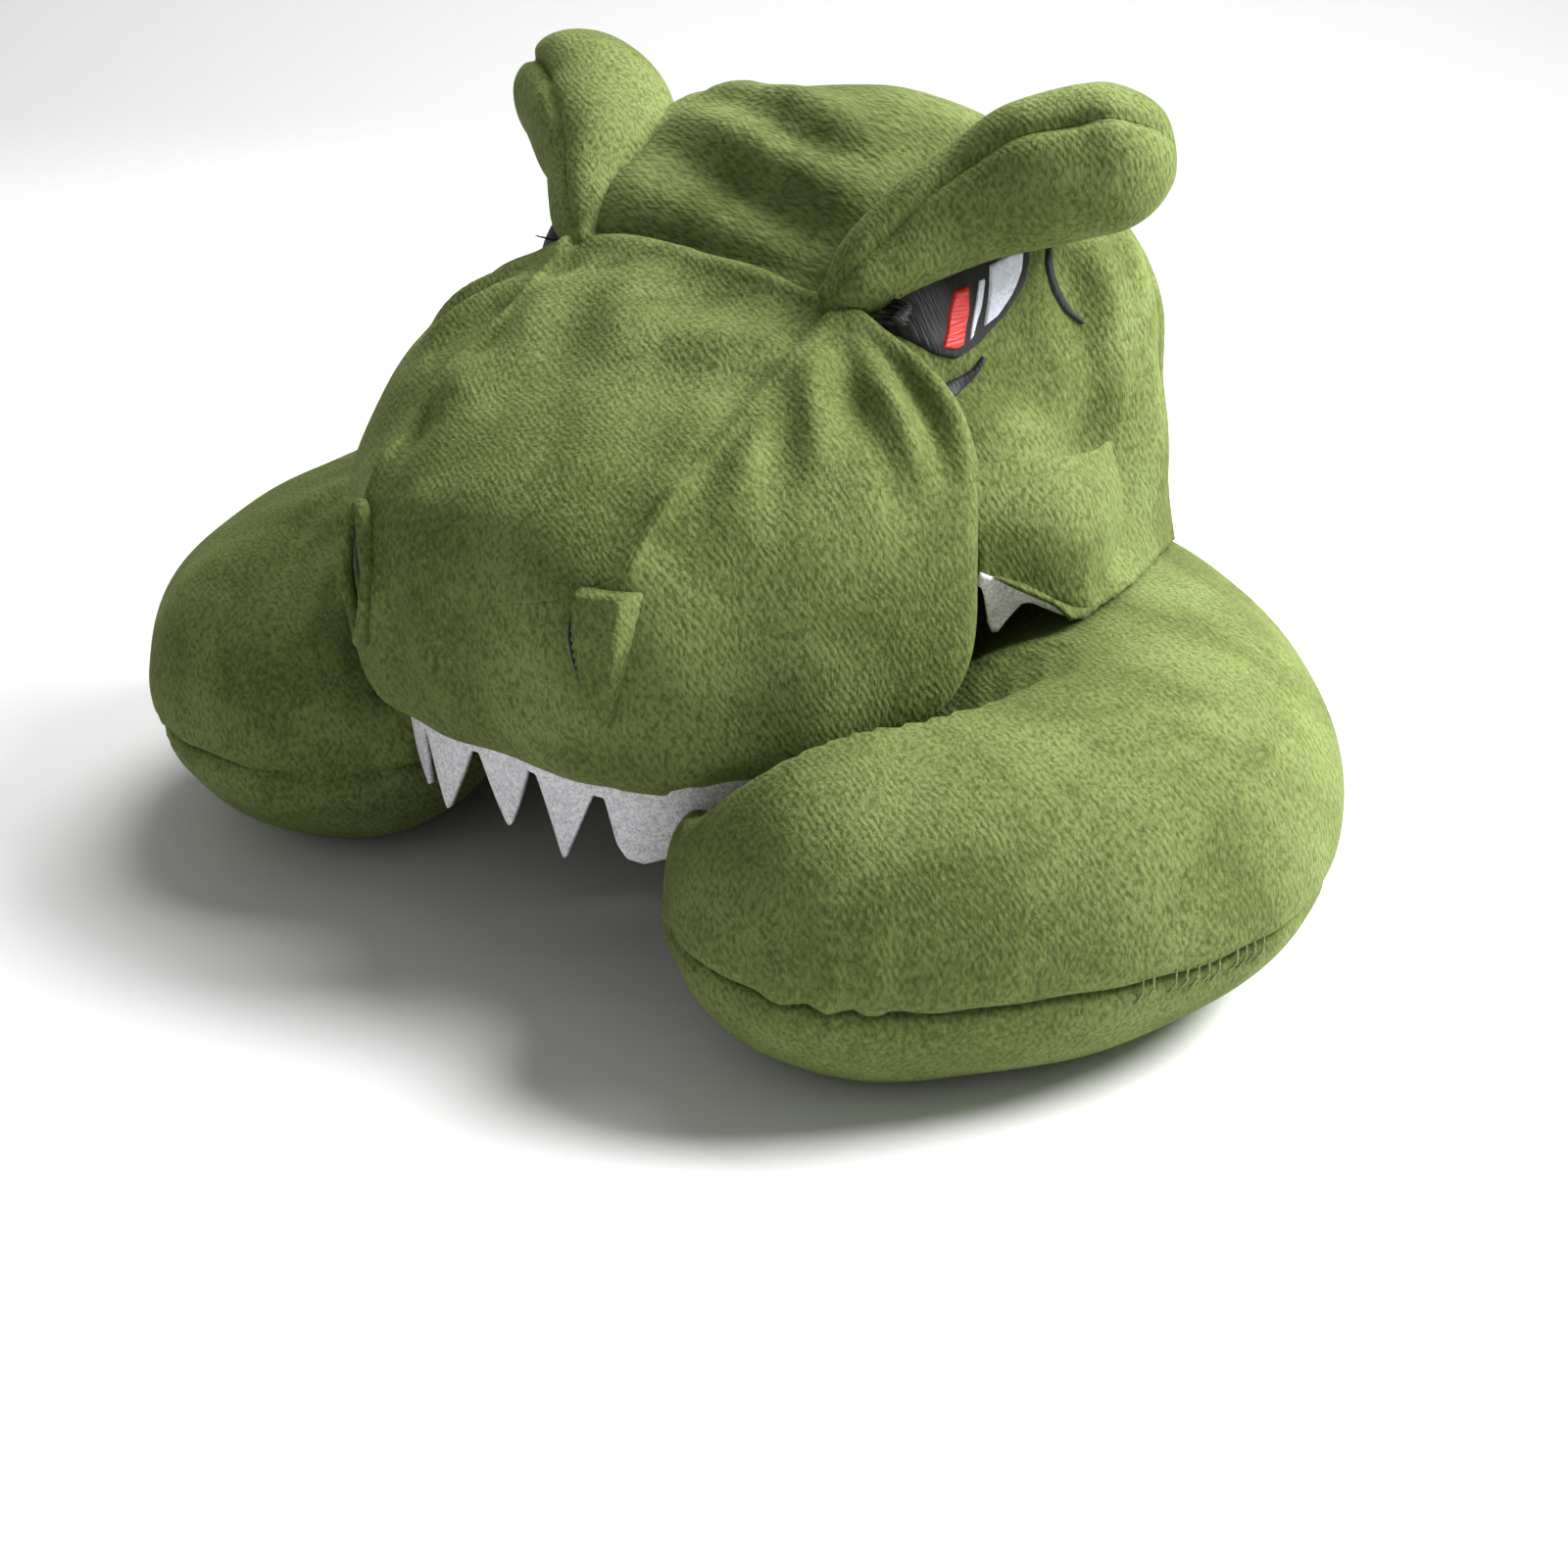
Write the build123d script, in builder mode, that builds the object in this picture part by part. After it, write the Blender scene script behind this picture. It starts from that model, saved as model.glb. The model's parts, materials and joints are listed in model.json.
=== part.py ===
"""Hooded neck pillow shaped like a toothed dinosaur.

A stuffed horseshoe pillow is the lower jaw. A plush hood rises from its back and carries a stuffed
snout with felt teeth, stuffed brow rolls, embroidered eyes and sewn nostrils. Millimetres, +Z up,
the animal faces -Y, and the origin is at the middle of the footprint on the resting plane.
"""

import math
import os

from build123d import *

# ---- neck pillow: one stuffed tube bent to a horseshoe ----
path_half_width = 117.0  # centreline, side to side
path_half_depth = 83.0  # centreline, front to back
path_end_angle = 125.6  # where each arm's end lies, measured round from the back
tube_half_width = 53.0
tube_half_height = 47.0
underside_press = 3.0  # how far the resting side is pressed flat
pillow_seam_height = 33.0  # the seam between the two cover panels
arm_joint_angle = 55.0  # where each arm bends away from the back
arm_joint_gap = 0.4

# ---- cloth and clearances ----
plush = 1.2  # short-pile plush
lining_cloth = 0.6  # red woven lining
felt = 1.4
webbing = 1.0
thread = 0.9
loose_fit = 0.3  # between a cover and its filling
sewn_fit = 0.2  # between two pieces sewn face to face
rest_clearance = 0.8  # between the head and the pillow under it
snout_loose_fit = 0.6  # between the snout's cover and its filling
snout_lift_steps = [6.25, 12.5, 18.75, 25.0]  # the lifts that the snout's underside clears the arms at
snout_hinge = (0.0, -21.75, 166.5)

# ---- snout stations: (distance along Y, half width, top, bottom) ----
snout_stations = [
    (-106.0, 42.0, 112.0, 68.0),
    (-99.0, 54.0, 122.0, 59.0),
    (-84.0, 66.0, 133.0, 57.0),
    (-62.0, 82.0, 146.0, 57.0),
    (-37.0, 94.0, 158.0, 60.0),
    (-22.0, 88.0, 165.0, 68.0),
]
snout_round_above = 2.4
snout_round_below = 3.6
mouth_half_width = 56.0  # the hollow under the snout, lined in red
mouth_reach = 62.0
mouth_roof = 101.0
snout_back = -22.0

# ---- hood stations: (distance along Y, top, shoulder, half width there, half width at the skirt) ----
hood_stations = [
    (-21.5, 165.5, 135.0, 62.0, 94.0),
    (5.0, 188.0, 150.0, 66.0, 104.0),
    (27.0, 198.0, 152.0, 70.0, 106.0),
    (52.0, 191.0, 145.0, 76.0, 100.0),
    (76.0, 172.0, 125.0, 72.0, 82.0),
    (92.0, 146.0, 112.0, 48.0, 54.0),
]
hood_roundness = 3.0
hood_skirt_low = 60.0
hood_back_seam = 68.0

# ---- brow roll stations: (centre, radius) ----
brow_stations = [
    ((44.5, -17.0, 166.0), 5.0),
    ((54.0, 2.0, 179.0), 12.0),
    ((65.0, 14.0, 186.0), 17.0),
    ((83.0, 27.0, 193.0), 17.5),
]

# ---- teeth: one felt strip with pointed teeth ----
tooth_pitch = 22.0
tooth_count = 9
teeth_low = 33.0
teeth_root = 52.0  # how far up the gaps between teeth reach

# ---- the eye's outline on the +X side of the hood: (Y, Z) ----
eye_outline = [(-18.0, 157.5), (24.0, 172.0), (17.0, 161.5), (6.0, 151.0), (-6.0, 147.0)]
red_stripe = [(-8.5, 150.8), (-3.5, 150.2), (2.5, 161.4), (-2.3, 159.9)]
narrow_stripe = [(-1.2, 150.8), (0.8, 151.4), (7.4, 163.0), (5.2, 162.2)]
white_patch = [(4.0, 153.4), (9.0, 157.0), (14.0, 162.0), (18.5, 167.8), (10.5, 164.8)]

crown_half_width = 44.0  # the two long seams along the top of the head
tube_centre_height = tube_half_height - underside_press
path_end = math.radians(path_end_angle)
path_centre_y = -path_half_depth * (1 + math.cos(path_end)) / 2


def path_point(angle):
    """A point of the tube's centreline, at an angle in degrees round from the back."""
    turn = math.radians(angle)
    return Vector(
        path_half_width * math.sin(turn),
        path_centre_y + path_half_depth * math.cos(turn),
        tube_centre_height,
    )


def outward_at(angle):
    """The level direction out of the horseshoe, square to its centreline."""
    turn = math.radians(angle)
    return Vector(path_half_depth * math.sin(turn), path_half_width * math.cos(turn), 0).normalized()


def ring(outer, inner, low, high, floor=0.0):
    """The tube's cross-section: an oval grown by outer, less one grown by inner, between two heights."""
    with BuildSketch() as hollow:
        if inner is not None:
            Ellipse(tube_half_width + inner, tube_half_height + inner)
            with Locations((0, floor - tube_centre_height)):
                Rectangle(400, 400, align=(Align.CENTER, Align.MIN), mode=Mode.INTERSECT)
    with BuildSketch() as section:
        Ellipse(tube_half_width + outer, tube_half_height + outer)
        with Locations((0, low - tube_centre_height)):
            Rectangle(400, high - low, align=(Align.CENTER, Align.MIN), mode=Mode.INTERSECT)
        if inner is not None:
            add(hollow.sketch, mode=Mode.SUBTRACT)
    return section.sketch


def tube(section, start, end):
    """A cross-section run along the pillow between two angles round from the back.

    An arm's end, at either side, is closed by turning the section's outer half about a plumb line.
    """
    with BuildPart() as length:
        with BuildLine():
            route = EllipticalCenterArc(
                (0, path_centre_y, tube_centre_height),
                path_half_width,
                path_half_depth,
                start_angle=90 - end,
                arc_size=end - start,
            )
        with BuildSketch(Plane(route @ 0, x_dir=outward_at(end), z_dir=route % 0 * -1)):
            add(section)
        sweep()
        for angle, turn in ((start, 1), (end, -1)):
            if abs(angle) == path_end_angle:
                tip, outward = path_point(angle), outward_at(angle)
                with BuildSketch(Plane(tip, x_dir=outward, z_dir=outward.cross(Vector(0, 0, 1)))):
                    add(section)
                    Rectangle(400, 400, align=(Align.MAX, Align.CENTER), mode=Mode.SUBTRACT)
                revolve(axis=Axis(tip, (0, 0, turn)), revolution_arc=180)
    return length.part


def whole_tube(section):
    return tube(section, -path_end_angle, path_end_angle)


def slab(x_low, x_high, y_low, y_high, z_low, z_high):
    """A plain block between six planes, for trimming."""
    with BuildPart() as block:
        with Locations(((x_low + x_high) / 2, (y_low + y_high) / 2, (z_low + z_high) / 2)):
            Box(x_high - x_low, y_high - y_low, z_high - z_low)
    return block.part


def snout_outline(half_width, top, bottom):
    """A rounded-square section, flatter below than above, sampled evenly in angle."""
    middle, half_height = (top + bottom) / 2, (top - bottom) / 2
    points = []
    for i in range(24):
        turn = 2 * math.pi * i / 24
        c, s = math.cos(turn), math.sin(turn)
        power = snout_round_above if s > 0 else snout_round_below
        x = math.copysign(abs(c) ** (2 / power), c) * half_width
        z = math.copysign(abs(s) ** (2 / power), s) * half_height
        points.append((x, middle + z))
    return points


def snout_body(inset):
    """The snout's rounded body, every face moved in by the inset."""
    last = len(snout_stations) - 1
    with BuildPart() as body:
        for i, (y, half_width, top, bottom) in enumerate(snout_stations):
            y_in = y + inset if i == 0 else y - inset if i == last else y
            with BuildSketch(Plane.XZ.offset(-y_in)):
                with BuildLine():
                    Spline(*snout_outline(half_width - inset, top - inset, bottom + inset), periodic=True)
                make_face()
        loft()
    return body.part


def open_snout(inset):
    """The snout body run out past its back, to cut a hollow that opens there."""
    y, half_width, top, bottom = snout_stations[-1]
    with BuildPart() as body:
        add(snout_body(inset))
        with BuildSketch(Plane.XZ.offset(-(y - inset))):
            with BuildLine():
                Spline(*snout_outline(half_width - inset, top - inset, bottom + inset), periodic=True)
            make_face()
        extrude(amount=-10)
    return body.part


def mouth_hollow(grow):
    """The hollow under the snout, as a block with an arched plan that runs out at the back."""
    with BuildPart() as hollow:
        with BuildSketch(Plane.XY):
            with Locations((0, snout_back)):
                Ellipse(mouth_half_width + grow, mouth_reach + grow)
        extrude(amount=mouth_roof + grow)
    return hollow.part


def hood_outline(inset, station):
    """One section of the hood: its half-round top, and where a flared side meets the skirt."""
    y, top, shoulder, across, skirt = station
    arc = []
    for k in range(13):
        turn = math.pi * k / 12
        c, s = math.cos(turn), math.sin(turn)
        x = math.copysign(abs(c) ** (2 / hood_roundness), c) * (across - inset)
        arc.append((x, shoulder + abs(s) ** (2 / hood_roundness) * (top - inset - shoulder)))
    return arc, skirt - inset


def hood_body(inset):
    """The hood's domed body, every face moved in by the inset."""
    last = len(hood_stations) - 1
    with BuildPart() as body:
        for i, station in enumerate(hood_stations):
            arc, skirt = hood_outline(inset, station)
            y_in = station[0] - inset if i == last else station[0]
            with BuildSketch(Plane.XZ.offset(-y_in)):
                with BuildLine():
                    Spline(*arc)
                    Polyline(arc[-1], (-skirt, hood_skirt_low), (skirt, hood_skirt_low), arc[0])
                make_face()
        loft()
    return body.part


def open_hood(inset):
    """The hood body run out past its front, to cut the hollow for the wearer's head."""
    arc, skirt = hood_outline(inset, hood_stations[0])
    with BuildPart() as body:
        add(hood_body(inset))
        with BuildSketch(Plane.XZ.offset(-hood_stations[0][0])):
            with BuildLine():
                Spline(*arc)
                Polyline(arc[-1], (-skirt, hood_skirt_low), (skirt, hood_skirt_low), arc[0])
            make_face()
        extrude(amount=10)
    return body.part


def brow_body(inset):
    """A brow roll on the +X side: round sections that swell to a domed end."""
    centres = [Vector(*centre) for centre, _ in brow_stations]
    with BuildPart() as body:
        for i, (centre, (_, radius)) in enumerate(zip(centres, brow_stations)):
            ahead = centres[min(i + 1, len(centres) - 1)] - centres[max(i - 1, 0)]
            with BuildSketch(Plane(centre, z_dir=ahead)):
                Circle(radius - inset)
        loft()
        with Locations(centres[-1]):
            Sphere(brow_stations[-1][1] - inset)
    return body.part


def side_prism(*outlines):
    """Outlines drawn in the YZ plane, run along X through the hood's +X side."""
    with BuildPart() as prism:
        for outline in outlines:
            with BuildSketch(Plane.YZ.offset(40)):
                Polygon(*outline, align=None)
        extrude(amount=90)
    return prism.part


def eye_prism():
    """The eye's whole outline, run along X through the hood's +X side."""
    with BuildPart() as prism:
        with BuildSketch(Plane.YZ.offset(40)):
            with BuildLine():
                Polyline(*eye_outline[:2])
                Spline(*eye_outline[1:], eye_outline[0])
            make_face()
        extrude(amount=60)
    return prism.part


def mirrored(part):
    return mirror(part, about=Plane.YZ)


def felt_wall(points, width, low):
    """An upright strip of cloth standing on a plan curve, from a height up into the snout."""
    with BuildPart() as wall:
        with BuildSketch(Plane.XY.offset(low)):
            with BuildLine():
                Spline(*points)
            trace(line_width=width)
        extrude(amount=85 - low)
    return wall.part


# ---- bodies the pieces are cut from ----
pillow_clear = whole_tube(ring(rest_clearance, None, 20, 200))
arms_while_lifting = [pillow_clear.rotate(Axis(snout_hinge, (1, 0, 0)), lift) for lift in snout_lift_steps]
snout_skin = snout_body(0)
snout_over = snout_body(-sewn_fit)
snout_hollow = open_snout(plush)
snout_stuffing = snout_body(plush + snout_loose_fit)
mouth = mouth_hollow(0)
hood_skin = hood_body(0)
hood_hollow = open_hood(plush)
hood_over = hood_body(-sewn_fit)
brow_clear = slab(0, 200, hood_stations[0][0] + 0.2, 200, 0, 400)

# ---- the pillow ----
with BuildPart() as pillow_top_cover:
    add(whole_tube(ring(0, -plush, pillow_seam_height, 200)))

with BuildPart() as pillow_bottom_cover:
    add(whole_tube(ring(0, -plush, 0, pillow_seam_height, floor=plush)))

stuffing_inset = plush + loose_fit
stuffing = ring(-stuffing_inset, None, stuffing_inset, 200)
arm_turn = math.radians(arm_joint_angle)
arm_pace = math.hypot(path_half_width * math.cos(arm_turn), path_half_depth * math.sin(arm_turn))
arm_start = arm_joint_angle + math.degrees(arm_joint_gap / arm_pace)

with BuildPart() as pillow_back_filling:
    add(tube(stuffing, -arm_joint_angle, arm_joint_angle))

with BuildPart() as left_arm_filling:
    add(tube(stuffing, arm_start, path_end_angle))

with BuildPart() as right_arm_filling:
    add(mirrored(left_arm_filling.part))

with BuildPart() as closing_stitches:
    add(tube(ring(sewn_fit + thread, sewn_fit, pillow_seam_height - 1.5, pillow_seam_height + 1.5), 70, 86))
    add(slab(130, 300, -300, 300, 0, 100), mode=Mode.INTERSECT)

# ---- the snout ----
with BuildPart() as snout_plush:
    add(snout_skin)
    add(snout_hollow, mode=Mode.SUBTRACT)
    add(mouth, mode=Mode.SUBTRACT)
    add(pillow_clear, mode=Mode.SUBTRACT)
    for arms in arms_while_lifting:
        add(arms, mode=Mode.SUBTRACT)

with BuildPart() as snout_top_panel:
    add(snout_plush.part)
    add(slab(-crown_half_width, crown_half_width, -300, 300, 0, 400), mode=Mode.INTERSECT)

with BuildPart() as left_cheek_cut:
    add(snout_plush.part)
    add(slab(crown_half_width, 300, -300, 300, 0, 400), mode=Mode.INTERSECT)

with BuildPart() as right_cheek_cut:
    add(snout_plush.part)
    add(slab(-300, -crown_half_width, -300, 300, 0, 400), mode=Mode.INTERSECT)

# where the arms are cut clear, a crumb of cloth comes loose from each cheek and is dropped
with BuildPart() as snout_left_cheek:
    add(left_cheek_cut.part.solids().sort_by(SortBy.VOLUME)[-1])

with BuildPart() as snout_right_cheek:
    add(right_cheek_cut.part.solids().sort_by(SortBy.VOLUME)[-1])

with BuildPart() as snout_filling:
    add(snout_stuffing)
    add(mouth_hollow(loose_fit), mode=Mode.SUBTRACT)
    add(slab(-300, 300, -300, snout_back - lining_cloth - loose_fit, 0, 400), mode=Mode.INTERSECT)
    add(pillow_clear, mode=Mode.SUBTRACT)
    for arms in arms_while_lifting:
        add(arms, mode=Mode.SUBTRACT)

with BuildPart() as palate_lining:
    add(mouth)
    add(mouth_hollow(-lining_cloth), mode=Mode.SUBTRACT)
    add(snout_skin, mode=Mode.INTERSECT)
    add(pillow_clear, mode=Mode.SUBTRACT)
    for arms in arms_while_lifting:
        add(arms, mode=Mode.SUBTRACT)

with BuildPart() as forehead_lining:
    add(open_snout(plush + sewn_fit))
    add(slab(-300, 300, snout_back - lining_cloth, snout_back, 0, 400), mode=Mode.INTERSECT)
    add(mouth, mode=Mode.SUBTRACT)
    add(pillow_clear, mode=Mode.SUBTRACT)
    for arms in arms_while_lifting:
        add(arms, mode=Mode.SUBTRACT)

teeth_line = [(-59, -70), (-49, -86), (-34, -95.5), (0, -98), (34, -95.5), (49, -86), (59, -70)]
band_line = [(-56, -68.5), (-47, -83.5), (-33, -92.5), (0, -95), (33, -92.5), (47, -83.5), (56, -68.5)]

with BuildPart() as teeth_strip:
    add(felt_wall(teeth_line, felt, teeth_low))
    for i in range(tooth_count + 1):
        with BuildLine(mode=Mode.PRIVATE):
            lip = Spline(*teeth_line)
        along = lip.length / 2 + (i - tooth_count / 2) * tooth_pitch * 0.78
        if 0 < along < lip.length:
            place = Plane(lip @ (along / lip.length), x_dir=lip % (along / lip.length), z_dir=(0, 0, 1))
            upright = Plane(place.origin, x_dir=place.x_dir, z_dir=place.x_dir.cross(Vector(0, 0, 1)))
            half = tooth_pitch * 0.39
            with BuildSketch(upright):
                Polygon(
                    (-half, 20),
                    (half, 20),
                    (half, teeth_low),
                    (2.5, teeth_root),
                    (-2.5, teeth_root),
                    (-half, teeth_low),
                    align=None,
                )
            extrude(amount=5, both=True, mode=Mode.SUBTRACT)
    add(snout_over, mode=Mode.SUBTRACT)
    add(pillow_clear, mode=Mode.SUBTRACT)

with BuildPart() as palate_edge_band:
    add(felt_wall(band_line, webbing, teeth_root - 4))
    add(snout_over, mode=Mode.SUBTRACT)
    add(pillow_clear, mode=Mode.SUBTRACT)

nostril_outline = [(36, 112), (48, 111), (47, 96), (42, 80), (37, 94)]
with BuildPart() as left_nostril_tab:
    with BuildSketch(Plane.XZ.offset(92)):
        Polygon(*nostril_outline, align=None)
        offset(amount=-2.6, mode=Mode.SUBTRACT)
    extrude(amount=18)
    add(snout_over, mode=Mode.SUBTRACT)

with BuildPart() as left_nostril_lining:
    with BuildSketch(Plane.XZ.offset(92)):
        Polygon(*nostril_outline, align=None)
        offset(amount=-2.8, mode=Mode.REPLACE)
    extrude(amount=15)
    add(snout_over, mode=Mode.SUBTRACT)

with BuildPart() as right_nostril_tab:
    add(mirrored(left_nostril_tab.part))

with BuildPart() as right_nostril_lining:
    add(mirrored(left_nostril_lining.part))

# ---- the hood ----
with BuildPart() as hood_plush:
    add(hood_skin)
    add(hood_hollow, mode=Mode.SUBTRACT)
    add(pillow_clear, mode=Mode.SUBTRACT)

with BuildPart() as hood_crown_panel:
    add(hood_plush.part)
    add(slab(-crown_half_width, crown_half_width, -300, hood_back_seam, 0, 400), mode=Mode.INTERSECT)

with BuildPart() as hood_left_side_panel:
    add(hood_plush.part)
    add(slab(crown_half_width, 300, -300, hood_back_seam, 0, 400), mode=Mode.INTERSECT)

with BuildPart() as hood_right_side_panel:
    add(mirrored(hood_left_side_panel.part))

with BuildPart() as hood_back_panel:
    add(hood_plush.part)
    add(slab(-300, 300, hood_back_seam, 300, 0, 400), mode=Mode.INTERSECT)

with BuildPart() as hood_lining_left:
    add(hood_body(plush + loose_fit))
    add(open_hood(plush + loose_fit + lining_cloth), mode=Mode.SUBTRACT)
    add(pillow_clear, mode=Mode.SUBTRACT)
    add(slab(0, 300, -300, 300, 0, 400), mode=Mode.INTERSECT)

with BuildPart() as hood_lining_right:
    add(mirrored(hood_lining_left.part))

# ---- the brow rolls ----
brow_base, brow_tip = Vector(*brow_stations[0][0]), Vector(*brow_stations[-1][0])
brow_run = (brow_tip - brow_base).normalized()
brow_seam_normal = brow_run.cross(Vector(0.35, -0.85, 0.4)).normalized()

with BuildPart() as brow_plush:
    add(brow_body(0))
    add(brow_body(plush), mode=Mode.SUBTRACT)
    add(hood_over, mode=Mode.SUBTRACT)
    add(brow_clear, mode=Mode.INTERSECT)

with BuildPart() as brow_inner_half:
    with BuildSketch(Plane(brow_base, x_dir=brow_run, z_dir=brow_seam_normal)):
        Rectangle(300, 300)
    extrude(amount=-100)

with BuildPart() as left_brow_inner_panel:
    add(brow_plush.part)
    add(brow_inner_half.part, mode=Mode.INTERSECT)

with BuildPart() as left_brow_outer_panel:
    add(brow_plush.part)
    add(brow_inner_half.part, mode=Mode.SUBTRACT)

with BuildPart() as left_brow_filling:
    add(brow_body(plush + loose_fit))
    add(hood_over, mode=Mode.SUBTRACT)
    add(brow_clear, mode=Mode.INTERSECT)

with BuildPart() as right_brow_inner_panel:
    add(mirrored(left_brow_inner_panel.part))

with BuildPart() as right_brow_outer_panel:
    add(mirrored(left_brow_outer_panel.part))

with BuildPart() as right_brow_filling:
    add(mirrored(left_brow_filling.part))

# ---- eyes and creases, sewn on the hood's sides ----
brow_trim = brow_body(-sewn_fit)
with BuildPart() as thread_layer:
    add(hood_body(-(sewn_fit + thread)))
    add(hood_over, mode=Mode.SUBTRACT)
    add(brow_trim, mode=Mode.SUBTRACT)
    add(slab(52, 200, -17.5, 200, 0, 400), mode=Mode.INTERSECT)

with BuildPart() as left_eye_red_embroidery:
    add(side_prism(red_stripe))
    add(thread_layer.part, mode=Mode.INTERSECT)

with BuildPart() as left_eye_white_stripe:
    add(side_prism(narrow_stripe))
    add(thread_layer.part, mode=Mode.INTERSECT)

with BuildPart() as left_eye_white_felt:
    add(side_prism(white_patch))
    add(thread_layer.part, mode=Mode.INTERSECT)

with BuildPart() as left_eye_black_embroidery:
    add(eye_prism())
    add(side_prism(red_stripe), mode=Mode.SUBTRACT)
    add(side_prism(narrow_stripe), mode=Mode.SUBTRACT)
    add(side_prism(white_patch), mode=Mode.SUBTRACT)
    add(thread_layer.part, mode=Mode.INTERSECT)

with BuildPart() as left_eye_lower_crease:
    add(side_prism([(-14, 142.5), (-4, 141.0), (3, 142.5), (8, 147.0), (2, 145.0), (-5, 143.5)]))
    add(thread_layer.part, mode=Mode.INTERSECT)

with BuildPart() as left_eye_rear_crease:
    add(side_prism([(28, 170), (31, 170), (34, 160), (33, 151), (31, 151), (32, 160)]))
    add(thread_layer.part, mode=Mode.INTERSECT)

with BuildPart() as right_eye_red_embroidery:
    add(mirrored(left_eye_red_embroidery.part))

with BuildPart() as right_eye_white_stripe:
    add(mirrored(left_eye_white_stripe.part))

with BuildPart() as right_eye_white_felt:
    add(mirrored(left_eye_white_felt.part))

with BuildPart() as right_eye_black_embroidery:
    add(mirrored(left_eye_black_embroidery.part))

with BuildPart() as right_eye_lower_crease:
    add(mirrored(left_eye_lower_crease.part))

with BuildPart() as right_eye_rear_crease:
    add(mirrored(left_eye_rear_crease.part))

# ---- mouth corners ----
flap_outline = [(-16, 101), (8, 112), (30, 122), (33, 112), (20, 97), (0, 92), (-14, 97)]
tooth_outline = [(-20, 98), (-17, 102), (-14, 96.8), (0, 91.8), (2, 86), (-6, 92), (-15, 94), (-18, 86)]

with BuildPart() as left_mouth_corner_flap:
    add(hood_body(-(sewn_fit + 2 * plush)))
    add(hood_over, mode=Mode.SUBTRACT)
    add(side_prism(flap_outline), mode=Mode.INTERSECT)
    add(pillow_clear, mode=Mode.SUBTRACT)

with BuildPart() as left_side_teeth:
    add(hood_body(-(sewn_fit + felt)))
    add(hood_over, mode=Mode.SUBTRACT)
    add(side_prism(tooth_outline), mode=Mode.INTERSECT)
    add(side_prism(flap_outline), mode=Mode.SUBTRACT)
    add(pillow_clear, mode=Mode.SUBTRACT)

with BuildPart() as right_mouth_corner_flap:
    add(mirrored(left_mouth_corner_flap.part))

with BuildPart() as right_side_teeth:
    add(mirrored(left_side_teeth.part))

# ---- names and files ----
pieces = {
    "pillow_top_cover": pillow_top_cover,
    "pillow_bottom_cover": pillow_bottom_cover,
    "pillow_back_filling": pillow_back_filling,
    "left_arm_filling": left_arm_filling,
    "right_arm_filling": right_arm_filling,
    "closing_stitches": closing_stitches,
    "snout_top_panel": snout_top_panel,
    "snout_left_cheek": snout_left_cheek,
    "snout_right_cheek": snout_right_cheek,
    "snout_filling": snout_filling,
    "palate_lining": palate_lining,
    "forehead_lining": forehead_lining,
    "teeth_strip": teeth_strip,
    "palate_edge_band": palate_edge_band,
    "left_nostril_tab": left_nostril_tab,
    "left_nostril_lining": left_nostril_lining,
    "right_nostril_tab": right_nostril_tab,
    "right_nostril_lining": right_nostril_lining,
    "hood_crown_panel": hood_crown_panel,
    "hood_left_side_panel": hood_left_side_panel,
    "hood_right_side_panel": hood_right_side_panel,
    "hood_back_panel": hood_back_panel,
    "hood_lining_left": hood_lining_left,
    "hood_lining_right": hood_lining_right,
    "left_brow_inner_panel": left_brow_inner_panel,
    "left_brow_outer_panel": left_brow_outer_panel,
    "left_brow_filling": left_brow_filling,
    "right_brow_inner_panel": right_brow_inner_panel,
    "right_brow_outer_panel": right_brow_outer_panel,
    "right_brow_filling": right_brow_filling,
    "left_eye_black_embroidery": left_eye_black_embroidery,
    "left_eye_red_embroidery": left_eye_red_embroidery,
    "left_eye_white_stripe": left_eye_white_stripe,
    "left_eye_white_felt": left_eye_white_felt,
    "left_eye_lower_crease": left_eye_lower_crease,
    "left_eye_rear_crease": left_eye_rear_crease,
    "right_eye_black_embroidery": right_eye_black_embroidery,
    "right_eye_red_embroidery": right_eye_red_embroidery,
    "right_eye_white_stripe": right_eye_white_stripe,
    "right_eye_white_felt": right_eye_white_felt,
    "right_eye_lower_crease": right_eye_lower_crease,
    "right_eye_rear_crease": right_eye_rear_crease,
    "left_mouth_corner_flap": left_mouth_corner_flap,
    "right_mouth_corner_flap": right_mouth_corner_flap,
    "left_side_teeth": left_side_teeth,
    "right_side_teeth": right_side_teeth,
}

os.makedirs("parts", exist_ok=True)
for name, piece in pieces.items():
    piece.part.label = name
    export_step(piece.part, f"parts/{name}.step")
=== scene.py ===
"""Cloth, stuffing, felt and thread of a hooded neck pillow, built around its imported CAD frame."""

import json
import math

import bpy
import numpy as np
from bpy.props import FloatProperty, FloatVectorProperty, IntProperty, PointerProperty
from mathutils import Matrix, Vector
from mathutils.bvhtree import BVHTree

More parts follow.
